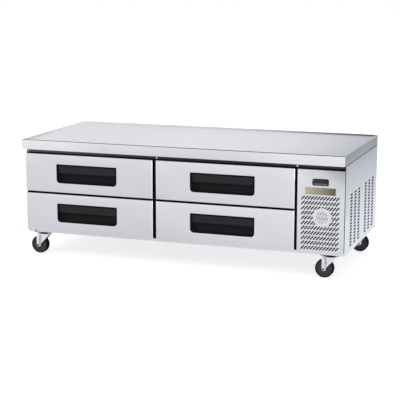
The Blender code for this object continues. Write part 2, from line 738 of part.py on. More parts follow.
def make_drawer(column, row):
    """Model one drawer: front skin, insulated core, handle, gasket and pan frame."""
    name = f"{column}_{row}_drawer"
    x = FRONT_COLUMNS[column]
    z = FRONT_ROWS[row]
    opening_x = OPENING_COLUMNS[column]
    opening_z = OPENING_ROWS[row]
    middle = ((x[0] + x[1]) / 2, Y_FACE, (z[0] + z[1]) / 2)
    carrier = empty(f"{name}_slide", middle)
    handle_middle = (middle[0] - HANDLE_SHIFT, middle[2])
    cup_x, cup_z = make_handle(f"{name}_handle", handle_middle, carrier)
    face_y = (Y_FACE, Y_FACE + FRONT_DEPTH)
    skin = as_part(f"{name}_front", box(x, face_y, z), "stainless", middle, carrier)
    corner = HANDLE_BOTTOM_RADIUS - HANDLE_FLANGE
    cup_hole = rounded(grown(cup_x, TOUCH), grown(cup_z, TOUCH), HANDLE_TOP_RADIUS / 2, corner)
    cut(skin, box(grown(x, -SHEET), (Y_FACE + SHEET, face_y[1] + OVERRUN), grown(z, -SHEET)),
        plate([cup_hole], "XZ", grown(face_y, OVERRUN)))
    inside = SHEET + TOUCH
    core = as_part(f"{name}_core", box(grown(x, -inside), (Y_FACE + inside, face_y[1]),
                                       grown(z, -inside)), "white_liner", middle, carrier)
    join(core, box(grown(opening_x, -PLUG_CLEARANCE), (face_y[1] - BITE, Y_BODY + PLUG_DEPTH),
                   grown(opening_z, -PLUG_CLEARANCE)))
    cut(core, box(grown(cup_x, TOUCH), (Y_FACE - OVERRUN, Y_FACE + HANDLE_DEPTH + TOUCH),
                  grown(cup_z, TOUCH)))
    ring_in = GASKET_INSET
    ring_out = GASKET_INSET + GASKET_WIDTH
    ring = [rectangle(grown(opening_x, ring_out), grown(opening_z, ring_out)),
            rectangle(grown(opening_x, ring_in), grown(opening_z, ring_in))]
    gasket = plate(ring, "XZ", (face_y[1] + TOUCH, Y_BODY - TOUCH))
    as_part(f"{name}_gasket", gasket, "gasket", middle, carrier)
    make_pan_frame(f"{name}_pan_frame", opening_x, row, carrier)


def louvre_slots():
    """List the outlines of the slanted slots whose middles the ring leaves free."""
    length = hypot(LOUVRE_RUN, LOUVRE_RUN)
    outlines = []
    for row in range(LOUVRE_ROWS):
        for column in range(LOUVRE_COLUMNS):
            x = COVER_MIDDLE + (column - (LOUVRE_COLUMNS - 1) / 2) * LOUVRE_COLUMN_PITCH
            z = LOUVRES_Z[0] + LOUVRE_RUN / 2 + row * LOUVRE_ROW_PITCH
            away = hypot(x - RING_CENTRE[0], z - RING_CENTRE[1])
            if away > RING_OUTER or away < RING_INNER:
                outlines.append(slot((x, z), length, LOUVRE_WIDTH, pi / 4))
    return outlines


def make_cover():
    """Model the machine compartment's cover with its slots and ring."""
    z = FRONTS_Z
    cover = as_part("machine_cover", box(COVER_X, (Y_FACE, Y_BODY - TOUCH), z), "stainless")
    through = (Y_FACE - OVERRUN, Y_FACE + SHEET + OVERRUN)
    ring = [circle(RING_CENTRE, RING_OUTER), circle(RING_CENTRE, RING_INNER)]
    cut(cover, box(grown(COVER_X, -SHEET), (Y_FACE + SHEET, Y_BODY), grown(z, -SHEET)),
        box(grown(around(COVER_MIDDLE, CONTROLLER_BODY_LENGTH), TOUCH), through,
            grown(around(CONTROLLER_Z, CONTROLLER_BODY_HEIGHT), TOUCH)),
        plate(louvre_slots(), "XZ", through))
    join(cover, plate(ring, "XZ", (Y_FACE - RING_PROUD, Y_FACE + BITE)))
    plate_x = around(COVER_MIDDLE, PLATE_LENGTH)
    badge = rounded(plate_x, around(PLATE_Z, PLATE_HEIGHT), PLATE_RADIUS, PLATE_RADIUS)
    as_part("nameplate", plate([badge], "XZ", (Y_FACE - TOUCH - PLATE_THICKNESS, Y_FACE - TOUCH)),
            "bronze_plate")


def make_controller():
    """Model the temperature controller: body, display window and two keys."""
    x = around(COVER_MIDDLE, CONTROLLER_LENGTH)
    z = around(CONTROLLER_Z, CONTROLLER_HEIGHT)
    front = Y_FACE - CONTROLLER_PROUD
    bezel = plate([rounded(x, z, CONTROLLER_RADIUS, CONTROLLER_RADIUS)], "XZ",
                  (front, Y_FACE - TOUCH))
    body = as_part("controller_body", bezel, "black_plastic")
    join(body, box(around(COVER_MIDDLE, CONTROLLER_BODY_LENGTH),
                   (Y_FACE - TOUCH - BITE, Y_FACE + CONTROLLER_BODY_DEPTH),
                   around(CONTROLLER_Z, CONTROLLER_BODY_HEIGHT)))
    display_z = CONTROLLER_Z + DISPLAY_RISE
    cut(body, box(grown(around(COVER_MIDDLE, DISPLAY_LENGTH), TOUCH),
                  (front - OVERRUN, front + DISPLAY_POCKET),
                  grown(around(display_z, DISPLAY_HEIGHT), TOUCH)))
    display = box(around(COVER_MIDDLE, DISPLAY_LENGTH),
                  (front + TOUCH, front + DISPLAY_POCKET - TOUCH),
                  around(display_z, DISPLAY_HEIGHT))
    as_part("controller_display", display, "display_red")
    key_z = CONTROLLER_Z - KEY_DROP
    for name, side in (("controller_key_down", -1), ("controller_key_up", 1)):
        key_x = COVER_MIDDLE + side * KEY_SPACING / 2
        cut(body, box(grown(around(key_x, KEY_LENGTH), TOUCH),
                      (front - OVERRUN, front + KEY_POCKET),
                      grown(around(key_z, KEY_HEIGHT), TOUCH)))
        key = box(around(key_x, KEY_LENGTH), (front - KEY_PROUD, front - KEY_PROUD + KEY_DEPTH),
                  around(key_z, KEY_HEIGHT))
        as_part(name, key, "black_plastic", (key_x, front, key_z))


def make_fan(name, centre, radius, blade_width, material):
    """Model an axial fan on the Y axis: blades set at a pitch round a bored hub."""
    hub = rod(FAN_HUB_RADIUS, centre, "Y", around(centre[1], FAN_HUB_LENGTH), 20)
    fan = as_part(name, hub, material, centre, smooth=True)
    middle = (radius + FAN_HUB_RADIUS) / 2 - BITE
    length = radius - FAN_HUB_RADIUS + 2 * BITE
    for index in range(FAN_BLADES):
        blade = box(around(0, blade_width), around(0, FAN_BLADE_THICKNESS), around(0, length))
        turn = Matrix.Rotation(index * 2 * pi / FAN_BLADES, 4, "Y")
        blade.data.transform(Matrix.Translation(centre) @ turn
                             @ Matrix.Translation((0, 0, middle))
                             @ Matrix.Rotation(FAN_PITCH, 4, "Z"))
        join(fan, blade)
    cut(fan, rod(FAN_SHAFT_RADIUS + TOUCH, centre, "Y", grown(around(centre[1], FAN_HUB_LENGTH),
                                                             OVERRUN), 16))


def fan_reach(blade_width):
    """Give how far a fan reaches behind its middle, with running room."""
    blade = (blade_width * sin(FAN_PITCH) + FAN_BLADE_THICKNESS * cos(FAN_PITCH)) / 2
    return max(blade, FAN_HUB_LENGTH / 2) + BITE


def make_shroud(name, centre, x, z, y):
    """Model the condenser fan's plate with its ring, struts, motor and shaft in one piece."""
    hole = FAN_RADIUS + FAN_TIP_GAP
    centre_xz = (centre[0], centre[2])
    shroud = as_part(name, plate([rectangle(x, z), circle(centre_xz, hole)], "XZ",
                                 (y[0], y[0] + SHROUD_WALL)), "black_enamel")
    ring = [circle(centre_xz, hole + SHROUD_WALL), circle(centre_xz, hole)]
    motor_front = centre[1] + fan_reach(FAN_BLADE_WIDTH)
    strut_y = (y[1] - SHROUD_WALL - BITE, y[1] - BITE)
    join(shroud,
         plate(ring, "XZ", (y[0] + SHROUD_WALL - BITE, y[1])),
         plate([cross(centre_xz, hole + BITE, STRUT_WIDTH / 2)], "XZ", strut_y),
         rod(MOTOR_RADIUS, centre, "Y", (motor_front, motor_front + MOTOR_LENGTH), 20),
         rod(FAN_SHAFT_RADIUS, centre, "Y",
             (centre[1] - FAN_HUB_LENGTH / 2, motor_front + BITE), 16))


def make_condensing_unit():
    """Model the condenser coil with its fan, the compressor and the line between them."""
    x = (X_MACHINE + COIL_SIDE_MARGIN, X_RIGHT - SHEET - COIL_SIDE_MARGIN)
    floor = Z_FLOOR + SHEET + TOUCH
    front = Y_BODY + FRAME_THICKNESS + CONTROLLER_BODY_DEPTH + COIL_FRONT_GAP
    y = (front, front + COIL_DEPTH)
    z = (floor + COIL_FOOT, floor + COIL_FOOT + COIL_HEIGHT)
    coil = as_part("condenser_coil", box(grown(x, -BEND_RADIUS), y, z), "black_enamel")
    for end in (x[0] + BEND_RADIUS, x[1] - BEND_RADIUS):
        join(coil, box((end - COIL_PLATE, end + COIL_PLATE), grown(y, COIL_PLATE),
                       (floor, z[1] + COIL_PLATE)))
    for end, side in ((x[0] + BEND_RADIUS, -1), (x[1] - BEND_RADIUS, 1)):
        for index in range(BEND_COUNT):
            bend_z = z[0] + (index + 1) * COIL_HEIGHT / (BEND_COUNT + 1)
            points = []
            for step in range(-1, 6):
                angle = pi * min(max(step, 0), 4) / 4
                lead = COIL_PLATE * 2 if step in (-1, 5) else 0
                points.append((end + side * (BEND_RADIUS - BEND_TUBE_RADIUS) * sin(angle)
                               - side * lead, (y[0] + y[1]) / 2,
                               bend_z - BEND_RADIUS * cos(angle)))
            join(coil, tube(points, BEND_TUBE_RADIUS, 1))
    centre = ((x[0] + x[1]) / 2, y[1] + COIL_PLATE + TOUCH + SHROUD_DEPTH / 2,
              z[0] + COIL_HEIGHT / 2)
    shroud_y = (y[1] + COIL_PLATE + TOUCH, y[1] + COIL_PLATE + TOUCH + SHROUD_DEPTH)
    make_shroud("condenser_fan_shroud", centre, grown(x, -BEND_RADIUS), (floor, z[1]), shroud_y)
    make_fan("condenser_fan_blade", centre, FAN_RADIUS, FAN_BLADE_WIDTH, "aluminium")
    make_compressor(floor, (x[0] + x[1]) / 2)
    make_line(floor, (x[0] + x[1]) / 2, y, z)


def make_compressor(floor, x):
    """Model the compressor can on its base plate, with four feet and a terminal box."""
    base_z = floor + COMPRESSOR_FOOT_HEIGHT
    top = base_z + COMPRESSOR_HEIGHT
    shoulder = COMPRESSOR_SHOULDER
    profile = [(0, top)]
    for step in range(1, 5):
        angle = step * pi / 2 / 4
        profile.append((COMPRESSOR_RADIUS - shoulder + shoulder * sin(angle),
                        top - shoulder + shoulder * cos(angle)))
    waist = base_z + COMPRESSOR_HEIGHT / 2
    profile += [(COMPRESSOR_RADIUS, waist), (COMPRESSOR_RADIUS + SHEET * 2, waist - SHEET),
                (COMPRESSOR_RADIUS, waist - SHEET * 4),
                (COMPRESSOR_RADIUS, base_z + shoulder),
                (COMPRESSOR_RADIUS - shoulder, base_z + SHEET), (0, base_z + SHEET)]
    half = COMPRESSOR_BASE / 2
    base = box(around(x, COMPRESSOR_BASE), around(COMPRESSOR_Y, COMPRESSOR_BASE),
               (base_z, base_z + COMPRESSOR_BASE_THICKNESS))
    compressor = as_part("compressor", base, "black_enamel")
    join(compressor, turned(profile, 24, (x, COMPRESSOR_Y, 0)))
    inset = COMPRESSOR_FOOT_RADIUS
    for side_x in (-1, 1):
        for side_y in (-1, 1):
            foot = (x + side_x * (half - inset), COMPRESSOR_Y + side_y * (half - inset), 0)
            join(compressor, rod(COMPRESSOR_FOOT_RADIUS, foot, "Z", (floor, base_z + BITE), 12,
                                 COMPRESSOR_FOOT_RADIUS / 2))
    join(compressor, box((x + COMPRESSOR_RADIUS / 2, x + COMPRESSOR_RADIUS + TERMINAL_REACH),
                         around(COMPRESSOR_Y, TERMINAL_BOX), around(waist, TERMINAL_BOX)))


def make_line(floor, x, coil_y, coil_z):
    """Model the copper line from the compressor's top through the filter drier to the coil."""
    start_z = floor + COMPRESSOR_FOOT_HEIGHT + COMPRESSOR_HEIGHT + TOUCH
    high = start_z + DRIER_LENGTH / 2
    side_x = x - COMPRESSOR_RADIUS
    coil_top = coil_z[1] + COIL_PLATE
    drier_y = (COMPRESSOR_Y - COMPRESSOR_RADIUS, COMPRESSOR_Y - COMPRESSOR_RADIUS - DRIER_LENGTH)
    end_y = (coil_y[0] + coil_y[1]) / 2
    over = coil_top + DRIER_RADIUS * 2
    route = [(x, COMPRESSOR_Y, start_z), (x, COMPRESSOR_Y, high - LINE_BEND),
             (x - LINE_RADIUS, COMPRESSOR_Y, high - LINE_RADIUS),
             (x - LINE_BEND, COMPRESSOR_Y, high),
             (side_x + LINE_BEND, COMPRESSOR_Y, high),
             (side_x + LINE_RADIUS, COMPRESSOR_Y - LINE_RADIUS, high),
             (side_x, COMPRESSOR_Y - LINE_BEND, high),
             (side_x, drier_y[1] - LINE_BEND, high),
             (side_x, drier_y[1] - 2 * LINE_BEND, high + LINE_RADIUS),
             (side_x, drier_y[1] - 3 * LINE_BEND, over),
             (side_x, end_y + LINE_BEND, over),
             (side_x, end_y + LINE_RADIUS, over - LINE_RADIUS),
             (side_x, end_y, over - LINE_BEND), (side_x, end_y, coil_z[1] + TOUCH)]
    line = as_part("refrigerant_line", tube(route, LINE_RADIUS), "copper", smooth=True)
    join(line, rod(DRIER_RADIUS, (side_x, 0, high), "Y", (drier_y[1], drier_y[0]), 16))


def make_inlet():
    """Model the power inlet: a flange on the back, a socket body and three pins."""
    x = (COVER_X[0] + COVER_X[1]) / 2
    flange = box(grown(around(x, INLET_WIDTH), INLET_FLANGE),
                 (Y_BACK + TOUCH, Y_BACK + TOUCH + INLET_THICKNESS),
                 grown(around(INLET_Z, INLET_HEIGHT), INLET_FLANGE / 2))
    inlet = as_part("power_inlet", flange, "black_plastic")
    join(inlet, box(around(x, INLET_WIDTH), (Y_BACK - INLET_DEPTH, Y_BACK + TOUCH + BITE),
                    around(INLET_Z, INLET_HEIGHT)))
    floor_y = Y_BACK - INLET_DEPTH + INLET_WALL
    cut(inlet, box(grown(around(x, INLET_WIDTH), -INLET_WALL),
                   (floor_y, Y_BACK + INLET_THICKNESS + OVERRUN),
                   grown(around(INLET_Z, INLET_HEIGHT), -INLET_WALL)))
    for index in (-1, 0, 1):
        join(inlet, box(around(x + index * INLET_PIN_SPACING, INLET_PIN_THICKNESS),
                        (floor_y - BITE, Y_BACK - INLET_WALL), around(INLET_Z, INLET_PIN_WIDTH)))


def make_evaporator():
    """Model the evaporator coil on the liner's back wall, with its fan in front."""
    x = around((OPENING_COLUMNS["right"][0] + OPENING_COLUMNS["right"][1]) / 2, EVAPORATOR_LENGTH)
    back = CAVITY_Y[1] - TOUCH
    y = (back - EVAPORATOR_DEPTH, back)
    z = (CAVITY_Z[0] + EVAPORATOR_LIFT, CAVITY_Z[0] + EVAPORATOR_LIFT + EVAPORATOR_HEIGHT)
    coil = as_part("evaporator_coil", box(x, (y[0], back - COIL_FOOT), z), "aluminium")
    for end in x:
        join(coil, box(around(end, COIL_PLATE * 2), y, grown(z, COIL_PLATE)))
    shroud_y = (y[0] - TOUCH - EVAPORATOR_SHROUD_DEPTH, y[0] - TOUCH)
    plate_y = (shroud_y[1] - SHROUD_WALL, shroud_y[1])
    centre = ((x[0] + x[1]) / 2, shroud_y[0] + FAN_HUB_LENGTH / 2, (z[0] + z[1]) / 2)
    hole = EVAPORATOR_FAN_RADIUS + FAN_TIP_GAP
    centre_xz = (centre[0], centre[2])
    housing = as_part("evaporator_fan_housing",
                      plate([rectangle(grown(x, -COIL_PLATE), z), circle(centre_xz, hole)], "XZ",
                            plate_y), "galvanised")
    motor_front = centre[1] + fan_reach(EVAPORATOR_BLADE_WIDTH)
    ring = [circle(centre_xz, hole + SHROUD_WALL), circle(centre_xz, hole)]
    reach = hole + BITE
    join(housing,
         plate(ring, "XZ", (shroud_y[0], plate_y[0] + BITE)),
         box(around(centre[0], STRUT_WIDTH), plate_y, (centre[2] - reach, centre[2] + reach)),
         box((centre[0] - reach, centre[0] + reach), plate_y, around(centre[2], STRUT_WIDTH)),
         rod(EVAPORATOR_MOTOR_RADIUS, centre, "Y", (motor_front, plate_y[1]), 20),
         rod(FAN_SHAFT_RADIUS, centre, "Y", (shroud_y[0], motor_front + BITE), 16))
    make_fan("evaporator_fan_blade", centre, EVAPORATOR_FAN_RADIUS, EVAPORATOR_BLADE_WIDTH,
             "black_plastic")


def make_caster(name, place, turn):
    """Model a swivel caster; its wheel trails towards its own -X before the turn."""
    plate_z = (Z_FLOOR - TOUCH - CASTER_PLATE_THICKNESS, Z_FLOOR - TOUCH)
    mount = box(around(place[0], CASTER_PLATE_LENGTH), around(place[1], CASTER_PLATE_DEPTH),
                plate_z)
    top_plate = as_part(f"{name}_plate", mount, "zinc")
    boss_z = (plate_z[0] - BOSS_HEIGHT, plate_z[0] + BITE)
    join(top_plate, rod(BOSS_END_RADIUS, place, "Z", boss_z, 24, BOSS_RADIUS))
    cut(top_plate, rod(KINGPIN_RADIUS + RUN, place, "Z",
                       (boss_z[0] - OVERRUN, boss_z[0] + KINGPIN_HEIGHT + RUN), 16))
    swivel = empty(f"{name}_swivel", (place[0], place[1], 0), turn)
    crown_z = (boss_z[0] - RUN - CROWN_THICKNESS, boss_z[0] - RUN)
    inner = WHEEL_WIDTH / 2 + FORK_SIDE_CLEARANCE
    outer = inner + FORK_LEG
    rear = -CASTER_TRAIL - FORK_WAIST
    crown = rod(CROWN_RADIUS, (0, 0, 0), "Z", crown_z, 24)
    fork = as_part(f"{name}_fork", crown, "zinc")
    join(fork, box((rear, 0), (-outer, outer), crown_z))
    leg = [(rear, crown_z[1]), (rear, WHEEL_RADIUS)]
    for step in range(1, 6):
        angle = pi + step * pi / 6
        leg.append((-CASTER_TRAIL + FORK_WAIST * cos(angle), WHEEL_RADIUS + FORK_WAIST * sin(angle)))
    leg += [(-CASTER_TRAIL + FORK_WAIST, WHEEL_RADIUS + FORK_WAIST / 2),
            (CROWN_LEG_REACH, crown_z[0] - CROWN_THICKNESS), (CROWN_LEG_REACH, crown_z[1])]
    for side in (-1, 1):
        join(fork, plate([leg], "XZ", sorted((side * inner, side * outer))))
    axle_centre = (-CASTER_TRAIL, 0, WHEEL_RADIUS)
    join(fork, rod(KINGPIN_RADIUS, (0, 0, 0), "Z", (crown_z[1] - BITE, boss_z[0] - RUN
                                                   + KINGPIN_HEIGHT), 16),
         rod(AXLE_RADIUS, axle_centre, "Y", (-outer - BITE, outer + BITE), 12))
    for side in (-1, 1):
        head = sorted((side * (outer - BITE), side * (outer + AXLE_HEAD)))
        join(fork, rod(AXLE_HEAD_RADIUS, axle_centre, "Y", head, 6))
    fork.parent = swivel
    wheel = make_wheel(name)
    wheel.parent = swivel


def make_wheel(name):
    """Model a solid wheel with a dished face, turned about its axle."""
    half = WHEEL_WIDTH / 2
    bore = AXLE_RADIUS + TOUCH
    dish = half - WHEEL_DISH
    tread = WHEEL_RADIUS - WHEEL_TREAD
    profile = [(bore, half), (WHEEL_HUB_RADIUS, half), (WHEEL_HUB_RADIUS, dish),
               (tread, dish), (tread, half), (WHEEL_RADIUS - WHEEL_DISH, half),
               (WHEEL_RADIUS, half - WHEEL_DISH)]
    profile += [(radius, -height) for radius, height in reversed(profile)]
    wheel = turned(profile, 24, (-CASTER_TRAIL, 0, WHEEL_RADIUS), "Y", closed=True)
    return as_part(f"{name}_wheel", wheel, "wheel_black")


clear_scene()
PARTS = make_collection("refrigerated_chef_base")
CUTTERS = make_collection("cutters")
make_worktop()
make_panels()
make_cold_box()
make_slides()
for drawer_column in FRONT_COLUMNS:
    for drawer_row in FRONT_ROWS:
        make_drawer(drawer_column, drawer_row)
make_cover()
make_controller()
make_condensing_unit()
make_inlet()
make_evaporator()
for caster_side, side_name in ((-1, "left"), (1, "right")):
    make_caster(f"front_{side_name}_caster",
                (caster_side * (X_RIGHT - FRONT_CASTER_END_INSET),
                 Y_FRONT + FRONT_CASTER_EDGE_INSET, 0), 0)
    make_caster(f"rear_{side_name}_caster",
                (caster_side * (X_RIGHT - REAR_CASTER_END_INSET),
                 -Y_FRONT - REAR_CASTER_EDGE_INSET, 0), pi)
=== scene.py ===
"""Refrigerated chef base, dressed in its sheet steel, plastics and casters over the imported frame."""
import json
from math import hypot, pi, radians

import bmesh
import bpy
from mathutils import Matrix, Vector


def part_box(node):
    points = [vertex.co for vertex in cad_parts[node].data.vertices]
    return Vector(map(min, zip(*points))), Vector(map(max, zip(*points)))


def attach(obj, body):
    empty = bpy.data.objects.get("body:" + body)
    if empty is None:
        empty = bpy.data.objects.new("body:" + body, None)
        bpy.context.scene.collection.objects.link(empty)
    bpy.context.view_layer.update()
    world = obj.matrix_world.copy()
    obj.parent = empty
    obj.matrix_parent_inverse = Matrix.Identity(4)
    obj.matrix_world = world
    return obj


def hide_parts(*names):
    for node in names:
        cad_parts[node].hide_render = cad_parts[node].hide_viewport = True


bl_info = {
    "name": "Refrigerated chef base",
    "version": (1, 0, 0),
    "blender": (4, 5, 0),
    "location": "View3D > Sidebar > Chef base",
    "description": "Models the outside of a refrigerated chef base and gives every piece its finish",
    "category": "Object",
}

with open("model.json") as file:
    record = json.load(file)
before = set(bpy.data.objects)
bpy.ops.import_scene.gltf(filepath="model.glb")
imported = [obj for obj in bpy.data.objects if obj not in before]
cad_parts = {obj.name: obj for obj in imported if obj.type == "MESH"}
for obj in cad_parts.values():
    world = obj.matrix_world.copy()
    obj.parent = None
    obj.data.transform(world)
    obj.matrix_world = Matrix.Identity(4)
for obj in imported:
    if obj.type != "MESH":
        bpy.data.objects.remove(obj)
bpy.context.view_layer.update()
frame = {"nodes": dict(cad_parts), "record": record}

# All lengths are in metres: X runs to the right, Y to the rear and Z up
X, Y, Z = range(3)
COLUMNS = ("left", "right")
DRAWERS = [f"{column}_{row}" for column in COLUMNS for row in ("upper", "lower")]
CASTERS = [f"{end}_{side}" for end in ("front", "rear") for side in ("left", "right")]
SHEET = 0.0015          # thickness of the steel sheet
SAME = 0.00005          # two lengths that differ by less are the same
STRAIGHT = 0.99         # share of a face's normal along an axis that it looks straight along
CUT_PAST = 0.01         # how far a cutting tool reaches past the sheet that it cuts
SOFT_ANGLE = 35         # an edge that turns by more degrees is shaded sharp


def linear(hex_colour):
    """Turn an sRGB hex colour into linear red, green, blue and alpha."""
    channels = [int(hex_colour[index:index + 2], 16) / 255 for index in (1, 3, 5)]
    return (*[(c / 12.92 if c <= 0.04045 else ((c + 0.055) / 1.055) ** 2.4) for c in channels], 1.0)


def length(name, text, default):
    """Describe a size that a user can change."""
    return bpy.props.FloatProperty(name=name, description=text, default=default, min=0.0,
                                   precision=4, unit="LENGTH", subtype="DISTANCE")


def colour(name, text, default):
    """Describe a colour that a user can change."""
    return bpy.props.FloatVectorProperty(name=name, description=text, default=linear(default),
                                         size=4, min=0.0, max=1.0, subtype="COLOR")


class ChefBaseSizes(bpy.types.PropertyGroup):
    """Sizes of the folds, slots and fittings."""
    fold_radius: length("Fold radius", "Outside radius of a folded sheet edge", 0.0012)
    hem_radius: length("Hem radius", "Radius of the rolled upright edges of a drawer front", 0.0050)
    corner_radius: length("Corner radius", "Radius of the worktop's outer edges", 0.0030)
    rim_width: length("Rim width", "Flat width of the raised rim of the worktop", 0.0065)
    rim_slope: length("Rim slope", "Width of the slope inside the rim", 0.0180)
    rim_depth: length("Rim depth", "Height of the rim over the work surface", 0.0080)
    louvre_width: length("Louvre width", "Width of a slanted slot in the cover", 0.0068)
    side_slot_width: length("Side slot width", "Width of a slot in the side panel", 0.0101)
    screw_radius: length("Screw radius", "Radius of a sheet metal screw's head", 0.0045)


class ChefBaseColours(bpy.types.PropertyGroup):
    """Colours of the finishes."""
    steel: colour("Steel", "Brushed stainless steel of the fronts", "#e3e4e9")
    cover_steel: colour("Cover steel", "Brushed stainless steel of the cover", "#e0e1e6")
    apron_steel: colour("Apron steel", "Brushed stainless steel of the apron", "#ecedf0")
    top_steel: colour("Top steel", "Brushed stainless steel of the work surface", "#e2e3e8")
    # The end steel's dark tone is painted shade on the apron's ends.
    end_steel: colour("End steel", "Stainless steel of the apron's ends", "#9a9ea6")
    # The crest steel's dark tone is a painted reflection on the rim's crest.
    crest_steel: colour("Crest steel", "Handled stainless steel of the rim's crest", "#6f7379")
    # The rear rim steel darkens to the right as a painted reflection.
    rear_rim_steel: colour("Rear rim steel", "Stainless steel of the rear rim", "#cfd0d4")
    # The rail steel's dark tone is painted shade under the apron.
    rail_steel: colour("Rail steel", "Dulled stainless steel of the top rail", "#5d6066")
    side_steel: colour("Side steel", "Brushed stainless steel of the side panels", "#eff3fa")
    plastic: colour("Plastic", "Moulded black plastic of the handles", "#191a1e")
    badge: colour("Badge", "Bronze of the nameplate", "#9c9683")
    keys: colour("Keys", "Moulded grey of the controller's keys", "#5c5f66")
    # The hem colour is a painted highlight on the rolled edges.
    hem: colour("Hem", "Bright steel where a sheet is rolled and brushing does not reach", "#f2f3f6")
    digits: colour("Digits", "Lit digits of the display", "#5e1420")
    wheel: colour("Wheel", "Moulded wheels of the casters", "#303136")


# Modelling by hand: small helpers over Blender's own operators

def middle(span):
    """Give the middle of a span."""
    return (span[0] + span[1]) / 2


def grown(span, step):
    """Make a span longer by a step at both ends, or shorter where the step is negative."""
    return (span[0] - step, span[1] + step)


def take(piece):
    """Make a piece the only one selected, and the active one."""
    if bpy.context.object and bpy.context.object.mode != "OBJECT":
        bpy.ops.object.mode_set(mode="OBJECT")
    bpy.ops.object.select_all(action="DESELECT")
    piece.select_set(True)
    bpy.context.view_layer.objects.active = piece


def settled(name):
    """Name the new primitive, and put its place, turn and size into its mesh."""
    piece = bpy.context.active_object
    piece.name = name
    take(piece)
    bpy.ops.object.transform_apply(location=True, rotation=True, scale=True)
    return piece


def plane(name, size, place=(0, 0, 0), turn=(0, 0, 0)):
    """Add a flat sheet of a width and a depth."""
    bpy.ops.object.select_all(action="DESELECT")
    bpy.ops.mesh.primitive_plane_add(size=1, location=place, rotation=turn)
    bpy.context.active_object.scale = (*size, 1)
    return settled(name)


def block(name, x, y, z):
    """Add a block from its span along each axis."""
    bpy.ops.object.select_all(action="DESELECT")
    bpy.ops.mesh.primitive_cube_add(size=1, location=[middle(span) for span in (x, y, z)],
                                    scale=[high - low for low, high in (x, y, z)])
    return settled(name)


def round_bar(name, radius, centre, axis, span, sides=24):
    """Add a round bar along an axis, from span[0] to span[1]."""
    bpy.ops.object.select_all(action="DESELECT")
    place = Vector(centre)
    place[axis] = middle(span)
    turn = {X: (0, pi / 2, 0), Y: (pi / 2, 0, 0), Z: (0, 0, 0)}[axis]
    bpy.ops.mesh.primitive_cylinder_add(vertices=sides, radius=radius, depth=span[1] - span[0],
                                        location=place, rotation=turn)
    return settled(name)


def pick(piece, kind, test):
    """Go into edit mode with only the faces or edges selected that pass a test."""
    take(piece)
    bpy.ops.object.mode_set(mode="EDIT")
    bpy.ops.mesh.select_mode(type=kind)
    bpy.ops.mesh.select_all(action="DESELECT")
    shape = bmesh.from_edit_mesh(piece.data)
    chosen = [part for part in (shape.faces if kind == "FACE" else shape.edges) if test(part)]
    if not chosen:
        raise RuntimeError(f"{piece.name} has nothing to shape")
    for part in chosen:
        part.select_set(True)
    bmesh.update_edit_mesh(piece.data)


def pick_faces(piece, test):
    """Pick the faces whose centre and normal pass a test."""
    pick(piece, "FACE", lambda face: test(face.calc_center_median(), face.normal))


def pick_edges(piece, test):
    """Pick the edges whose two ends pass a test."""
    pick(piece, "EDGE", lambda edge: test(edge.verts[0].co, edge.verts[1].co))


def pick_all(piece):
    """Go into edit mode with everything selected."""
    take(piece)
    bpy.ops.object.mode_set(mode="EDIT")
    bpy.ops.mesh.select_all(action="SELECT")


def leave():
    """Go back to object mode."""
    bpy.ops.object.mode_set(mode="OBJECT")


def near(a, b, room=SAME):
    """Say whether two lengths are the same."""
    return abs(a - b) < room


def facing(axis, way):
    """Make a test for faces that look straight along an axis, one way (1) or the other (-1)."""
    return lambda centre, normal: normal[axis] * way > STRAIGHT


def along(axis, *places):
    """Make a test for edges that run along an axis, and pass through places as (axis, value)."""
    def test(a, b):
        flat = all(near(a[index], b[index]) for index in range(3) if index != axis)
        return flat and not near(a[axis], b[axis]) and all(
            near(a[index], value) for index, value in places)
    return test


def ring_at(axis, value):
    """Make a test for edges that lie in a plane across an axis."""
    return lambda a, b: near(a[axis], value) and near(b[axis], value)


def round_edges(piece, test, radius, segments=3):
    """Bevel the edges that pass a test."""
    pick_edges(piece, test)
    bpy.ops.mesh.bevel(offset=radius, segments=segments, profile=0.5, affect="EDGES")
    leave()


def inset(thickness):
    """Inset the selected faces as one region."""
    bpy.ops.mesh.inset(thickness=thickness, depth=0, use_even_offset=True)


def extrude(step):
    """Extrude the selected faces by a step."""
    bpy.ops.mesh.extrude_region_move(TRANSFORM_OT_translate={"value": step})


def shift(step):
    """Move what is selected by a step."""
    bpy.ops.transform.translate(value=step)


def sink(piece, test, *stages):
    """Inset the faces that pass a test by each width in a stage, then move the innermost one."""
    pick_faces(piece, test)
    for widths, step in stages:
        for width in widths:
            inset(width)
        shift(step)
    leave()


def change(piece, kind, **settings):
    """Add a modifier, set it and apply it."""
    modifier = piece.modifiers.new(kind.lower(), kind)
    for name, value in settings.items():
        setattr(modifier, name, value)
    take(piece)
    bpy.ops.object.modifier_apply(modifier=modifier.name)
    return piece


def drop(piece):
    """Take away a piece that was only a pattern or a tool."""
    bpy.data.objects.remove(piece, do_unlink=True)


def cut(piece, tool, operation="DIFFERENCE"):
    """Cut a piece with a tool, or join the tool to it, and take the tool away."""
    change(piece, "BOOLEAN", operation=operation, solver="EXACT", object=tool)
    drop(tool)


def copied(piece, name, step):
    """Copy a piece with a mesh of its own, moved by a step."""
    twin = piece.copy()
    twin.data = piece.data.copy()
    twin.name = name
    bpy.context.scene.collection.objects.link(twin)
    twin.data.transform(Matrix.Translation(step))
    return twin


def together(name, pieces):
    """Join several pieces into one object."""
    take(pieces[0])
    for piece in pieces:
        piece.select_set(True)
    bpy.ops.object.join()
    pieces[0].name = name
    return pieces[0]


def finished(piece, body, finish_name, slot, *nodes):
    """Shade a piece, give it its finish, and tie it to its body and the frame's nodes; the slot is not
    used.
    """
    take(piece)
    bpy.ops.object.shade_smooth_by_angle(angle=radians(SOFT_ANGLE))
    piece.data.materials.clear()
    piece.data.materials.append(finish(finish_name))
    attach(piece, body)
    if nodes:
        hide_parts(*nodes)
    return piece


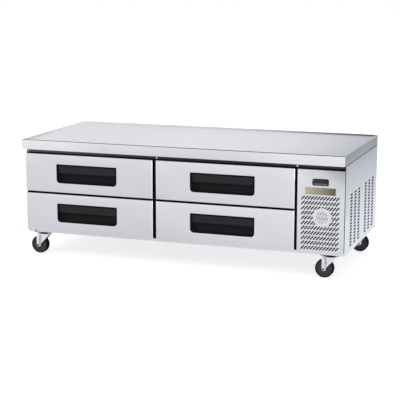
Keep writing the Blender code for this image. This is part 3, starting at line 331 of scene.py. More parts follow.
def dress(piece, choose, *names):
    """Give some faces other finishes: choose names each face's, or None for the piece's own."""
    places = {None: 0}
    for name in names:
        places[name] = len(piece.data.materials)
        piece.data.materials.append(finish(name))
    for face in piece.data.polygons:
        face.material_index = places[choose(face)]


# Finishes

def add_node(tree, kind, settings=None, links=None):
    """Add a node with its settings and its links; a number stands for a socket's place."""
    node = tree.nodes.new(kind)
    for key, value in (settings or {}).items():
        if isinstance(key, int) or key in node.inputs:
            node.inputs[key].default_value = value
        else:
            setattr(node, key, value)
    for key, source in (links or {}).items():
        tree.links.new(source, node.inputs[key])
    return node


def started(name, metallic, ior=None):
    """Start a material and give its tree, shader and Object coordinates."""
    material = bpy.data.materials.new(name)
    material.use_nodes = True
    tree = material.node_tree
    shader = tree.nodes["Principled BSDF"]
    shader.inputs["Metallic"].default_value = metallic
    if ior is not None:
        shader.inputs["IOR"].default_value = ior
    place = add_node(tree, "ShaderNodeTexCoord")
    return material, tree, shader, place.outputs["Object"]


def shaded(tone, factor):
    """Give a lighter or darker tone."""
    return (*[min(1.0, channel * factor) for channel in tone[:3]], 1.0)


def tone_of(source, factor=1.0):
    """Give a tone from its hex value, or from the name of a colour that a user can change."""
    if source.startswith("#"):
        return shaded(linear(source), factor)
    return shaded(getattr(bpy.context.scene.chef_base_colours, source), factor)


def painted_drift(tree, place, colour_link, direction, stops):
    """Paint light and shade as a drift along a direction; each stop is metres along it and brightness.
    """
    metres = add_node(tree, "ShaderNodeVectorMath", {"operation": "DOT_PRODUCT", 1: direction},
                      {0: place})
    first, last = stops[0][0], stops[-1][0]
    share = add_node(tree, "ShaderNodeMapRange", {"From Min": first, "From Max": last},
                     {"Value": metres.outputs["Value"]})
    ramp = add_node(tree, "ShaderNodeValToRGB", None, {"Fac": share.outputs[0]})
    elements = ramp.color_ramp.elements
    while len(elements) < len(stops):
        elements.new(0.5)
    for element, (metre, brightness) in zip(elements, stops):
        element.position = (metre - first) / (last - first)
        element.color = (brightness, brightness, brightness, 1.0)
    dimmed = add_node(tree, "ShaderNodeMix", {"data_type": "RGBA", "blend_type": "MULTIPLY",
                                              0: 1.0}, {6: colour_link, 7: ramp.outputs[0]})
    return dimmed.outputs[2]


def grained(name, tone, grain, metallic, rough, depth=0.0, spread=0.06, ior=None, sheen=0.5,
            drift=None):
    """Make a finish whose tone, roughness and height follow a noise of a grain size."""
    base = tone_of(*tone) if isinstance(tone, tuple) else tone_of(tone)
    material, tree, shader, place = started(name, metallic, ior)
    shader.inputs["Specular IOR Level"].default_value = sheen
    scaled = add_node(tree, "ShaderNodeMapping", {"Scale": [1 / size for size in grain]},
                      {"Vector": place})
    noise = add_node(tree, "ShaderNodeTexNoise", {"Scale": 1.0, "Detail": 4.0},
                     {"Vector": scaled.outputs[0]})
    # Slow clouds about 0.4 m across lie under the grain, as on any large sheet or moulding
    clouds_per_metre, cloud_share, grain_share = 2.3, 0.3, 0.7
    clouds = add_node(tree, "ShaderNodeTexNoise", {"Scale": clouds_per_metre, "Detail": 2.0},
                      {"Vector": place})
    share = add_node(tree, "ShaderNodeMath", {"operation": "MULTIPLY", 1: cloud_share},
                     {0: clouds.outputs["Fac"]})
    both = add_node(tree, "ShaderNodeMath", {"operation": "MULTIPLY_ADD", 1: grain_share},
                    {0: noise.outputs["Fac"], 2: share.outputs[0]})
    mix = add_node(tree, "ShaderNodeMix", {"data_type": "RGBA", 6: shaded(base, 1 - spread),
                                           7: shaded(base, 1 + spread)}, {0: both.outputs[0]})
    colour_link = painted_drift(tree, place, mix.outputs[2], *drift) if drift else mix.outputs[2]
    tree.links.new(colour_link, shader.inputs["Base Color"])
    worn = add_node(tree, "ShaderNodeMapRange", {"To Min": rough[0], "To Max": rough[1]},
                    {"Value": both.outputs[0]})
    tree.links.new(worn.outputs[0], shader.inputs["Roughness"])
    if depth:
        bump = add_node(tree, "ShaderNodeBump", {"Strength": 0.5, "Distance": depth},
                        {"Height": noise.outputs["Fac"]})
        tree.links.new(bump.outputs[0], shader.inputs["Normal"])
    return material


def galvanised():
    """Make hot-dip galvanised sheet: flat zinc crystals 8 mm across, each with its own tone."""
    material, tree, shader, place = started("galvanised sheet", 1.0)
    flake, zinc = 0.008, linear("#b4b8bb")
    scaled = add_node(tree, "ShaderNodeMapping", {"Scale": [1 / flake] * 3}, {"Vector": place})
    cells = add_node(tree, "ShaderNodeTexVoronoi", {"Scale": 1.0}, {"Vector": scaled.outputs[0]})
    grey = add_node(tree, "ShaderNodeRGBToBW", None, {0: cells.outputs["Color"]})
    mix = add_node(tree, "ShaderNodeMix", {"data_type": "RGBA", 6: shaded(zinc, 0.86),
                                           7: shaded(zinc, 1.10)}, {0: grey.outputs[0]})
    tree.links.new(mix.outputs[2], shader.inputs["Base Color"])
    worn = add_node(tree, "ShaderNodeMapRange", {"To Min": 0.38, "To Max": 0.52},
                    {"Value": grey.outputs[0]})
    tree.links.new(worn.outputs[0], shader.inputs["Roughness"])
    return material


def lit_digits():
    """Make the lit segments: dim red light, a little uneven, as light in a milky segment is."""
    material, tree, shader, place = started("lit segment", 0.0, 1.49)
    grains_per_metre = 900
    scaled = add_node(tree, "ShaderNodeMapping", {"Scale": [grains_per_metre] * 3},
                      {"Vector": place})
    noise = add_node(tree, "ShaderNodeTexNoise", {"Scale": 1.0}, {"Vector": scaled.outputs[0]})
    mix = add_node(tree, "ShaderNodeMix", {"data_type": "RGBA", 6: tone_of("digits", 0.8),
                                           7: tone_of("digits", 1.2)}, {0: noise.outputs["Fac"]})
    tree.links.new(mix.outputs[2], shader.inputs["Base Color"])
    tree.links.new(mix.outputs[2], shader.inputs["Emission Color"])
    shader.inputs["Emission Strength"].default_value = 0.35
    return material


# Sizes of a brushed sheet's grain: scratches 2 mm wide, drawn that wide so that they show, where
# real ones are 0.1 mm, and half a metre long
BRUSHED_ALONG = (0.5, 0.02, 0.002)
BRUSHED_TO_REAR = (0.02, 0.5, 0.002)

# Each finish has its real material, its colour (a hex value, or the name of one that a user can
# change, and how much lighter or darker), its grain's size along X, Y and Z, metallic, least and
# most roughness, and where they matter the grain's height, the spread of its tone, IOR and
# specular level. Sizes and heights are in metres.
GRAINED = {
    # Grade 430 stainless sheet, brushed along its length: scratches soften reflections up and down.
    "front_steel": ("brushed stainless, fronts", "steel", BRUSHED_ALONG, 1, (0.30, 0.38),
                    0.00002, 0.03),
    # The cover is the fronts' sheet; its darker tone, deepest to the upper right, is painted shade.
    "cover_steel": ("brushed stainless, cover", "cover_steel", BRUSHED_ALONG, 1, (0.30, 0.38),
                    0.00002, 0.03),
    # The apron is brushed along its length and given the lightest tone.
    "apron_steel": ("brushed stainless, apron", "apron_steel", BRUSHED_ALONG, 1, (0.26, 0.34),
                    0.00002, 0.02),
    # The work surface is brushed along its length, and pans scuff it here and there.
    "top_steel": ("brushed stainless, work surface", "top_steel", (0.5, 0.002, 0.02), 1,
                  (0.24, 0.36), 0.00002, 0.025),
    # On the apron's ends the brushing lies across; their dark tone is painted shade.
    "end_steel": ("brushed stainless, apron ends", "end_steel", (0.02, 0.3, 0.002), 1,
                  (0.30, 0.38), 0.00002, 0.03),
    # The rim's crest: its dark tone is a painted reflection, with soft marks 10 mm across.
    "crest_steel": ("handled stainless, rim crest", "crest_steel", (0.01, 0.01, 0.01), 1,
                    (0.28, 0.42), 0.00002, 0.05),
    # The rear rim: its tone, darkening towards the right end, is a painted reflection.
    "rear_rim_steel": ("rubbed stainless, rear rim", "rear_rim_steel", (0.5, 0.01, 0.01), 1,
                       (0.26, 0.40), 0.00002, 0.04),
    # The rail lies deep under the apron: its dark tone is painted shade from the apron over it.
    "rail_steel": ("dulled stainless, top rail", "rail_steel", BRUSHED_ALONG, 1, (0.34, 0.48),
                   0.00002, 0.10),
    # The side sheets are brushed from front to back.
    "side_steel": ("brushed stainless, sides", "side_steel", BRUSHED_TO_REAR, 1, (0.30, 0.38),
                   0.00002, 0.03),
    # The sheet's rolled edges: smoother than the brushed face, and brighter as a painted highlight.
    "hem_steel": ("mill finish stainless, rolled edges", "hem", (0.004, 0.004, 0.06), 1,
                  (0.18, 0.26), 0.00002, 0.02),
    # Moulded ABS: a fine spark-eroded grain, 0.3 mm in the mould, drawn 1 mm.
    "black_plastic": ("moulded ABS, black", "plastic", (0.001,) * 3, 0, (0.34, 0.46),
                      0.00004, 0.12, 1.54, 0.25),
    # The same ABS in the pull's pocket: a 1.4 mm grain, no shine, and a lighter tone as painted light.
    "coarse_plastic": ("moulded ABS, coarse grain", ("plastic", 1.45), (0.0014,) * 3, 0,
                       (0.60, 0.75), 0.0001, 0.20, 1.54, 0.12),
    # The same ABS on the pull's flange, far darker and nearly matt: painted shade round the pull.
    "matt_plastic": ("moulded ABS, matt", ("plastic", 0.15), (0.001,) * 3, 0, (0.55, 0.70),
                     0.00001, 0.06, 1.54, 0.06),
    # The same ABS moulded in grey for the keys.
    "key_grey": ("moulded ABS, grey", "keys", (0.001,) * 3, 0, (0.36, 0.46), 0.00002, 0.08, 1.54),
    # Printed polyester film over the keys: even, with a faint satin texture.
    "strip_grey": ("printed polyester film", "#62656e", (0.0008,) * 3, 0, (0.40, 0.50),
                   0.00001, 0.05, 1.5),
    # Unlit lamp: a milky polycarbonate lens.
    "lamp_grey": ("milky polycarbonate", "#b4b8bf", (0.001,) * 3, 0, (0.20, 0.30),
                  0.00001, 0.05, 1.58),
    # Flat black film, hardly any shine, on the fronts' flanges and folds at gaps: painted shade in the
    # gaps.
    "breaker_film": ("vinyl breaker film", "#08080a", (0.001,) * 3, 0, (0.60, 0.75),
                     0.00002, 0.10, 1.5, 0.08),
    # Open foam of the air filters: cells 2 mm across, no shine, near black also as painted shade in the
    # slots.
    "filter_foam": ("open filter foam", "#0a0a0b", (0.002,) * 3, 0, (0.85, 0.95),
                    0.0006, 0.35, 1.45, 0.04),
    # Vinyl magnetic seal: dull and slightly greasy.
    "gasket": ("extruded vinyl seal", "#101112", (0.002, 0.05, 0.002), 0, (0.50, 0.65),
               0.00004, 0.12, 1.53, 0.12),
    # Vacuum-formed polystyrene liner: white, smooth, with slow thickness waves.
    "white_liner": ("formed polystyrene liner", "#e6e7e5", (0.02,) * 3, 0, (0.32, 0.42),
                    0.0001, 0.02, 1.59),
    # Poured polyurethane foam: cells 1 mm across, drawn 2 mm, no shine.
    "foam": ("polyurethane foam", "#dccb98", (0.002,) * 3, 0, (0.85, 0.95), 0.0004, 0.10, 1.45),
    # Fibre board: flakes 4 mm long, no shine.
    "board": ("fibre board", "#a5835c", (0.004, 0.004, 0.001), 0, (0.75, 0.88),
              0.0002, 0.14, 1.45),
    # Rolled aluminium fin stock: bright, fine lines.
    "aluminium": ("rolled aluminium", "#d5d7d9", (0.02, 0.02, 0.001), 1, (0.28, 0.40),
                  0.00003, 0.05),
    # The frame's machine room parts in this finish behind the slots are black partly as painted shade.
    # Stove enamel on pressed steel: a thick soft gloss with orange peel 3 mm across.
    "black_enamel": ("stove enamel, black", "#0d0d0e", (0.003,) * 3, 0, (0.30, 0.42),
                     0.0001, 0.10, 1.52, 0.12),
    # Drawn copper tube: pink where it was drawn, browner where it was handled.
    "copper": ("drawn copper", "#c8835f", (0.01,) * 3, 1, (0.26, 0.42), 0.00003, 0.14),
    # Zinc electroplate on pressed steel: bright, with a cloudy passivation.
    "zinc": ("zinc plate", "#e9ebee", (0.006,) * 3, 1, (0.24, 0.38), 0.00005, 0.07),
    # Zinc plate, nearly black with a satin sheen; on the casters' top plates it is painted shade.
    "dark_zinc_and_shade": ("black chromated zinc", "#2c2d2f", (0.006,) * 3, 0.6, (0.40, 0.52),
                  0.00005, 0.12),
    # Moulded rubber tread: soft, dull and darker than the wheel that carries it.
    "tread_black": ("moulded rubber tread", "#0a0a0b", (0.0015,) * 3, 0, (0.70, 0.85),
                    0.0001, 0.16, 1.52, 0.12),
    # Moulded polyurethane wheel: even, with a satin skin and fine moulding grain.
    "wheel_black": ("moulded wheel", "wheel", (0.0015,) * 3, 0, (0.42, 0.58), 0.0001, 0.14, 1.5),
    # Etched, lacquered bronze plate: etched lines 0.6 mm apart, darker to the right as a painted
    # reflection.
    "bronze_plate": ("lacquered bronze", ("badge", 1.65), (0.1, 0.01, 0.0006), 0.8,
                     (0.28, 0.40), 0.0, 0.06),
    # Smoked acrylic window over the digits: dark and glossy, with faint dust haze.
    "display": ("smoked acrylic", "#1c0c10", (0.004,) * 3, 0, (0.06, 0.14), 0.0, 0.10, 1.49),
}

# Directions along which a sheet's tone drifts
TO_RIGHT, UP, TO_UPPER_RIGHT = (1.0, 0.0, 0.0), (0.0, 0.0, 1.0), (1.0, 0.0, 1.8)

# Painted light and shade: some sheets' tones drift along a direction, standing for reflections
# and shade that these even lamps don't give. Each stop: metres along the direction, brightness share.
PAINTED_LIGHT_DRIFTS = {
    "front_steel": (TO_RIGHT, ((-0.91, 0.90), (-0.15, 0.91), (0.20, 0.95), (0.64, 0.99))),
    "cover_steel": (TO_UPPER_RIGHT, ((1.50, 1.0), (1.66, 0.97), (1.785, 0.88), (1.83, 0.76),
                                     (1.92, 0.57), (1.98, 0.48))),
    "apron_steel": (TO_RIGHT, ((-0.91, 1.0), (-0.66, 0.97), (-0.42, 0.86), (0.33, 0.85),
                               (0.56, 0.97), (0.91, 0.98))),
    "top_steel": (TO_RIGHT, ((-0.91, 0.84), (-0.40, 0.85), (0.0, 0.93), (0.35, 0.985),
                             (0.50, 1.0), (0.72, 0.88), (0.91, 0.70))),
    "crest_steel": (TO_RIGHT, ((-0.91, 1.0), (-0.60, 0.95), (-0.20, 0.74), (0.10, 0.62),
                               (0.91, 0.70))),
    "rear_rim_steel": (TO_RIGHT, ((-0.91, 1.0), (0.05, 0.98), (0.30, 0.78), (0.56, 0.42),
                                  (0.70, 0.24), (0.91, 0.10))),
    "rail_steel": (TO_RIGHT, ((-0.91, 1.0), (-0.70, 0.85), (-0.42, 0.52), (0.10, 0.30),
                              (0.50, 0.34), (0.91, 0.45))),
    "side_steel": (UP, ((0.13, 1.0), (0.22, 0.99), (0.29, 0.94), (0.37, 0.83), (0.45, 0.74),
                        (0.53, 0.69), (0.61, 0.57))),
    "bronze_plate": (TO_RIGHT, ((0.70, 1.0), (0.861, 0.22))),
}

MADE_FINISHES = {}


def finish(name):
    """Give a finish by its name, made once."""
    if name not in MADE_FINISHES:
        if name in GRAINED:
            MADE_FINISHES[name] = grained(*GRAINED[name], drift=PAINTED_LIGHT_DRIFTS.get(name))
        else:
            MADE_FINISHES[name] = {"galvanised": galvanised, "lit_digits": lit_digits}[name]()
    return MADE_FINISHES[name]


# Pieces

def spans(node):
    """Give the span of a node along each axis."""
    low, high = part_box(node)
    return [(low[index], high[index]) for index in range(3)]


def on_loop(point, half):
    """Say whether a point lies on the rectangle of these half sizes about the middle."""
    return near(max(abs(point.x) - half[0], abs(point.y) - half[1]), 0)


def make_worktop(sizes):
    """Fold the worktop: soft corners, a raised rim with its slope and a hollow underside."""
    x, y, z = spans("worktop")
    top = block("worktop_pan", x, y, z)
    round_edges(top, lambda a, b: along(Z)(a, b) or ring_at(Z, z[1])(a, b), sizes.corner_radius)
    sink(top, facing(Z, 1), ((sizes.rim_width - sizes.corner_radius, sizes.rim_slope),
                             (0, 0, -sizes.rim_depth)))
    crest = (x[1] - sizes.rim_width, y[1] - sizes.rim_width)
    round_edges(top, lambda a, b: ring_at(Z, z[1])(a, b) and on_loop(a, crest)
                and on_loop(b, crest), sizes.rim_width / 3)
    round_edges(top, ring_at(Z, z[1] - sizes.rim_depth), sizes.rim_width)
    pick_faces(top, facing(Z, -1))
    inset(SHEET)
    extrude((0, 0, z[1] - z[0] - sizes.rim_depth - SHEET))
    leave()

    end_zone, hair = 0.002, 0.0001

    def under_the_ends(a, b):
        nearer, farther = sorted((abs(a.x), abs(b.x)))
        outside_hollow = farther > x[1] - SHEET + hair
        return ring_at(Z, z[0])(a, b) and nearer > x[1] - end_zone and outside_hollow
    round_edges(top, under_the_ends, SHEET * 0.8, segments=2)
    finished(top, "cabinet", "apron_steel", "stainless", "worktop")

    rear_slope = y[1] - sizes.rim_width - sizes.rim_slope
    least_up, least_flat, least_out = 0.15, 0.3, 0.8

    # The crest and the rear rim take painted reflections, and the ends painted shade.
    def choose(face):
        up, place = face.normal.z, face.center
        on_side_rim = abs(place.x) > x[1] - sizes.rim_width - 0.001
        if place.y > rear_slope and up > least_up and not on_side_rim:
            return "rear_rim_steel"
        if place.z > z[1] - sizes.corner_radius and up > least_up:
            return "top_steel" if on_side_rim else "crest_steel"
        if abs(face.normal.x) > least_out:
            return "end_steel"
        return "top_steel" if up > least_flat else None
    dress(top, choose, "top_steel", "end_steel", "crest_steel", "rear_rim_steel")


def folded_pan(name, x, y, z, upright_radius, fold_radius):
    """Fold a shallow pan that faces the front, open at the back, with rolled upright edges."""
    pan = block(name, x, y, z)
    round_edges(pan, along(Z, (Y, y[0])), upright_radius, 4)
    round_edges(pan, lambda a, b: (ring_at(Z, z[0])(a, b) or ring_at(Z, z[1])(a, b))
                and max(a.y, b.y) < y[1] - 0.001, fold_radius, 2)
    pick_faces(pan, facing(Y, 1))
    inset(SHEET)
    extrude((0, y[0] - y[1] + SHEET + upright_radius, 0))
    leave()
    return pan


def rounded_block(name, x, y, z, top_radius, bottom_radius, segments=5):
    """Add a block whose four edges from front to back are round."""
    made = block(name, x, y, z)
    round_edges(made, along(Y, (Z, z[0])), bottom_radius, segments)
    round_edges(made, along(Y, (Z, z[1])), top_radius, segments)
    return made


def finish_front_edges(front, x, face, sizes, gap_side):
    """Give a front's rolled edges smoother steel with a painted highlight, and gap edges painted shade
    in black film.

    The film also wraps the fold at the gap between the rows: gap_side is 1 where that is the
    front's top edge, and -1 where it is the bottom edge.
    """
    leaning, turned, sideways = 0.05, 0.30, 0.95    # shares of a normal along an axis
    roll_width = sizes.hem_radius + 0.0005

    def choose(side):
        place, normal = side.center, side.normal
        on_roll = min(abs(place.x - x[0]), abs(place.x - x[1])) < roll_width
        if on_roll and abs(normal.x) > leaning and normal.y < -leaning:
            return "hem_steel"
        on_flange = abs(normal.x) > sideways and place.y > face + sizes.hem_radius
        at_gap = normal.z * gap_side > turned
        return "breaker_film" if on_flange or at_gap else None
    dress(front, choose, "hem_steel", "breaker_film")


def make_fronts(sizes):
    """Fold the four drawer fronts, each with the opening for its handle."""
    flange_lap = 0.004
    for column in COLUMNS:
        upper, lower = f"{column}_upper_drawer", f"{column}_lower_drawer"
        x, y, z = spans(f"{upper}_front")
        upper_skin = folded_pan(f"{upper}_skin", x, y, z, sizes.hem_radius, sizes.fold_radius)
        pull_x, _, pull_z = spans(f"{upper}_handle")
        cut(upper_skin, rounded_block("hole", grown(pull_x, -flange_lap), grown(y, CUT_PAST),
                                      grown(pull_z, -flange_lap), top_radius=0.002,
                                      bottom_radius=0.015))
        step = spans(f"{lower}_front")[Z][0] - z[0]
        lower_skin = copied(upper_skin, f"{lower}_skin", (0, 0, step))
        for drawer, skin, gap_side in ((upper, upper_skin, -1), (lower, lower_skin, 1)):
            finished(skin, drawer, "front_steel", "stainless", f"{drawer}_front")
            finish_front_edges(skin, x, y[0], sizes, gap_side)


def make_handles():
    """Mould the recessed pull once, and copy it to the other drawers."""
    x, y, z = spans("left_upper_drawer_handle")
    flange, flange_edge, flange_air = 0.002, 0.0011, 0.0003     # height, edge radius, air behind
    cup_inset, pocket_inset = 0.005, 0.0075     # from the flange's outline
    pocket_floor, pocket_bend = 0.0025, 0.006   # thickness of the pocket's back, radius round it
    pocket_lead = 0.003                         # how far the pocket's tool starts before the flange
    hood_height, hood_lean, hood_nose = 0.044, 0.005, 0.0015
    overlap = 0.001                             # how far joined pieces reach into each other
    face = y[0] + flange
    pull = rounded_block("pull", x, (y[0], face - flange_air), z, top_radius=0.005,
                         bottom_radius=0.020, segments=6)
    round_edges(pull, ring_at(Y, y[0]), flange_edge, 2)
    cut(pull, rounded_block("cup", grown(x, -cup_inset), (face - overlap, y[1]),
                            grown(z, -cup_inset), top_radius=0.0025, bottom_radius=0.014), "UNION")
    pocket_x, pocket_z = grown(x, -pocket_inset), grown(z, -pocket_inset)
    deepest = y[1] - pocket_floor
    pocket = rounded_block("pocket", pocket_x, (y[0] - pocket_lead, deepest), pocket_z,
                           top_radius=0.0015, bottom_radius=0.0115)
    round_edges(pocket, ring_at(Y, deepest), pocket_bend)
    cut(pull, pocket)
    # The hood hangs from the pocket's top and leans back, so that fingers go in under it
    hood_low = pocket_z[1] - hood_height
    hood = block("hood", grown(pocket_x, overlap), (face + 0.003, face + 0.007),
                 (hood_low, pocket_z[1] + overlap))
    pick_faces(hood, facing(Z, -1))
    shift((0, hood_lean, 0))
    leave()
    round_edges(hood, lambda a, b: ring_at(Z, hood_low)(a, b) and near(a.y, b.y), hood_nose)
    cut(pull, hood, "UNION")
    lit_pocket_from, shaded_flange_to = face + 0.009, face + 0.0005

    # The pocket's lighter tone is painted light, and the flange's dark tone painted shade.
    def choose(side):
        if side.center.y > lit_pocket_from:
            return "coarse_plastic"
        return "matt_plastic" if side.center.y < shaded_flange_to else None
    for drawer in DRAWERS:
        target = spans(f"{drawer}_drawer_handle")
        twin = copied(pull, f"{drawer}_pull_cup", (target[X][0] - x[0], 0, target[Z][0] - z[0]))
        finished(twin, f"{drawer}_drawer", "black_plastic", "black_plastic",
                 f"{drawer}_drawer_handle")
        dress(twin, choose, "coarse_plastic", "matt_plastic")
    drop(pull)


def slot_tool(name, places, size, depth, axis, turn=0.0):
    """Make one cutting tool from a round-ended slot, copied to every place in the sheet's plane."""
    run, width = size
    first = block("slot", (-run / 2, run / 2), (-width / 2, width / 2), (-0.5, 0.5))
    round_edges(first, along(Z), width * 0.499, 2)
    # Lay the slot in its sheet: it runs along X where the sheet lies across Y, or else along Y
    lay = {Y: Matrix.Rotation(pi / 2, 4, "X"),
           X: Matrix(((0, 0, 1, 0), (1, 0, 0, 0), (0, 1, 0, 0), (0, 0, 0, 1)))}[axis]
    thin = Matrix.Diagonal((1, 1, depth[1] - depth[0], 1))
    slots = []
    for u, v in places:
        centre = (u, middle(depth), v) if axis == Y else (middle(depth), u, v)
        one = copied(first, "slot", (0, 0, 0))
        one.data.transform(Matrix.Translation(centre) @ lay @ Matrix.Rotation(turn, 4, "Z") @ thin)
        slots.append(one)
    drop(first)
    tool = together(name, slots)
    pick_all(tool)
    bpy.ops.mesh.normals_make_consistent(inside=False)
    leave()
    return tool


# The controller's case is this much smaller than its bezel at each side, and above and below
CASE_INSET = (0.008, 0.004)


def make_cover(sizes):
    """Fold the machine cover, punch its slanted slots and set the flat ring on it."""
    x, y, z = spans("machine_cover")
    face = spans("left_upper_drawer_front")[Y][0]
    case_x, _, case_z = spans("controller_body")
    upright_radius = 0.002
    cover = folded_pan("cover_pan", x, (face, y[1]), z, upright_radius, sizes.fold_radius)
    cut(cover, block("hole", grown(case_x, -CASE_INSET[0]), grown((face, face), CUT_PAST),
                     grown(case_z, -CASE_INSET[1])))
    columns, rows = 12, 11
    across, up = 0.01664, 0.0264            # from slot to slot
    slot_length, middle_height, slant = 0.0283, 0.300, pi / 4
    places = [(middle(case_x) + (column - (columns - 1) / 2) * across,
               middle_height + (row - (rows - 1) / 2) * up)
              for row in range(rows) for column in range(columns)]
    cut(cover, slot_tool("louvres", places, (slot_length, sizes.louvre_width),
                         (face - 0.003, face + 0.004), Y, slant))
    finished(cover, "cabinet", "cover_steel", "stainless", "machine_cover")
    ring_aside, ring_height = 0.012, 0.331  # right of the slots' middle, and over the floor
    make_ring((middle(case_x) + ring_aside, face, ring_height))
    make_base_lip(sizes)


def make_ring(centre):
    """Press the flat ring that lies on the cover's slots, and the motor's cap behind them."""
    face = centre[Y]
    ring_radius, hole_radius = 0.0495, 0.030
    ring_front, ring_back = face - 0.0012, face - 0.0001
    ring = round_bar("cover_ring", ring_radius, centre, Y, (ring_front, ring_back), 64)
    cut(ring, round_bar("ring_hole", hole_radius, centre, Y, grown((face, face), CUT_PAST), 64))
    round_edges(ring, ring_at(Y, ring_front), 0.0005, 2)
    finished(ring, "cabinet", "front_steel", "stainless")
    cap_radius, cap_rim, cap_slope, cap_dish = 0.040, 0.008, 0.0015, 0.0012
    cap_front, cap_back = face + 0.0022, face + 0.0052
    cap = round_bar("motor_cap", cap_radius, centre, Y, (cap_front, cap_back), 48)
    round_edges(cap, ring_at(Y, cap_front), 0.0015, 3)
    sink(cap, facing(Y, -1), ((cap_rim, cap_slope), (0, cap_dish, 0)))
    finished(cap, "cabinet", "galvanised", "galvanised")


def make_base_lip(sizes):
    """Fold the base's lip, which shows under the fronts from end to end, and set its screw."""
    x, y, z = spans("machine_cover")
    front = y[1] - 0.0012
    lip_x = (spans("left_side_panel")[X][0] + 0.0005, x[1] + 0.003)
    lip_z = (z[0] - 0.0158, z[0] - 0.0004)
    lip = block("base_lip", lip_x, (front, y[1]), lip_z)
    round_edges(lip, ring_at(Y, front), 0.0004, 1)
    finished(lip, "cabinet", "front_steel", "stainless")
    head, screw_x = front - 0.0018, -0.868
    screw = round_bar("lip_screw", sizes.screw_radius, (screw_x, front, middle(lip_z)), Y,
                      (head, front + 0.0001), 16)
    round_edges(screw, ring_at(Y, head), 0.0014, 2)
    finished(screw, "cabinet", "dark_zinc_and_shade", "zinc")


def make_rail():
    """Fold the top rail that shows over the fronts, with the small tabs on its joints."""
    x, y, z = spans("front_frame")
    rail_front, tab_front = y[0] - 0.0014, y[0] - 0.0032
    tab_width, tab_radius = 0.009, 0.002
    rail = block("top_rail", grown(x, -0.001), (rail_front, y[0] - 0.0001),
                 (z[1] - 0.0220, z[1] - 0.0006))
    round_edges(rail, ring_at(Y, rail_front), 0.0006, 2)
    # The rail's dark finish is painted shade under the apron.
    finished(rail, "cabinet", "rail_steel", "stainless")
    for name, place in (("left", x[0] + 0.009), ("middle", -0.131), ("right", 0.652)):
        tab = rounded_block(f"{name}_joint_tab", grown((place, place), tab_width / 2),
                            (tab_front, rail_front), (z[1] - 0.021, z[1] - 0.010),
                            tab_radius, tab_radius, 3)
        round_edges(tab, ring_at(Y, tab_front), 0.0004, 1)
        finished(tab, "cabinet", "side_steel", "stainless")


def make_side_panel(sizes):
    """Cut the right side panel with its six columns of round-ended slots."""
    x, y, z = spans("right_side_panel")
    panel = block("side_panel_right", x, y, z)
    round_edges(panel, along(Z, (X, x[1]), (Y, y[0])), 0.0007, 2)
    front = spans("worktop")[Y][0]
    groups, columns, rows = (0.1734, 0.528), 3, 17      # each group's place from the worktop's front
    column_pitch, row_pitch, lowest, slot_length = 0.0935, 0.0169, 0.1655, 0.050
    places = [(front + group + column * column_pitch, lowest + row * row_pitch)
              for group in groups for column in range(columns) for row in range(rows)]
    cut(panel, slot_tool("side_slots", places, (slot_length, sizes.side_slot_width),
                         grown(x, 0.003), X))
    # A groove and a black seal strip under the apron's end: a real joint whose black is also a painted
    # shadow line.
    cut(panel, block("groove", (x[1] - 0.0008, x[1] + 0.001), grown(y, 0.001),
                     (z[1] - 0.0034, z[1] + 0.001)))
    seam_face = x[1] - 0.0002
    seam = block("side_seam", (x[1] - 0.0007, seam_face), grown(y, -0.001),
                 (z[1] - 0.0032, z[1] - 0.0001))
    round_edges(seam, ring_at(X, seam_face), 0.0002, 1)
    finished(seam, "cabinet", "gasket", "gasket")
    finished(panel, "cabinet", "side_steel", "stainless", "right_side_panel")


def make_filter():
    """Lay the black foam air filters behind the cover's louvres and the side panel's slots."""
    # The filters are real, and their near black is partly painted shade seen through the slots.
    x, y, z = spans("machine_cover")
    margin, thick, top = 0.006, 0.006, 0.448
    back = y[1] - margin
    front = back - thick
    pad = block("air_filter", grown(x, -0.008), (front, back), (z[0] + margin, top))
    round_edges(pad, ring_at(Y, front), 0.0015, 2)
    pick_all(pad)
    bpy.ops.mesh.subdivide(number_cuts=3)
    leave()
    finished(pad, "cabinet", "filter_foam", "gasket")
    edge = spans("right_side_panel")[X][0] - 0.0015
    screen_y, screen_z, screen_thick = (-0.275, 0.360), (0.150, 0.450), 0.005
    screen = block("side_filter", (edge - screen_thick, edge), screen_y, screen_z)
    round_edges(screen, ring_at(X, edge), 0.0012, 2)
    finished(screen, "cabinet", "filter_foam", "gasket")


# Bars of a lit digit, from the top clockwise and then the middle one: where the bar's middle is,
# in half widths and quarter heights, and whether it stands upright
BARS = {"a": (0, 2, False), "b": (1, 1, True), "c": (1, -1, True), "d": (0, -2, False),
        "e": (-1, -1, True), "f": (-1, 1, True), "g": (0, 0, False)}
DIGIT_BARS = {"3": "abcdg", "8": "abcdefg"}


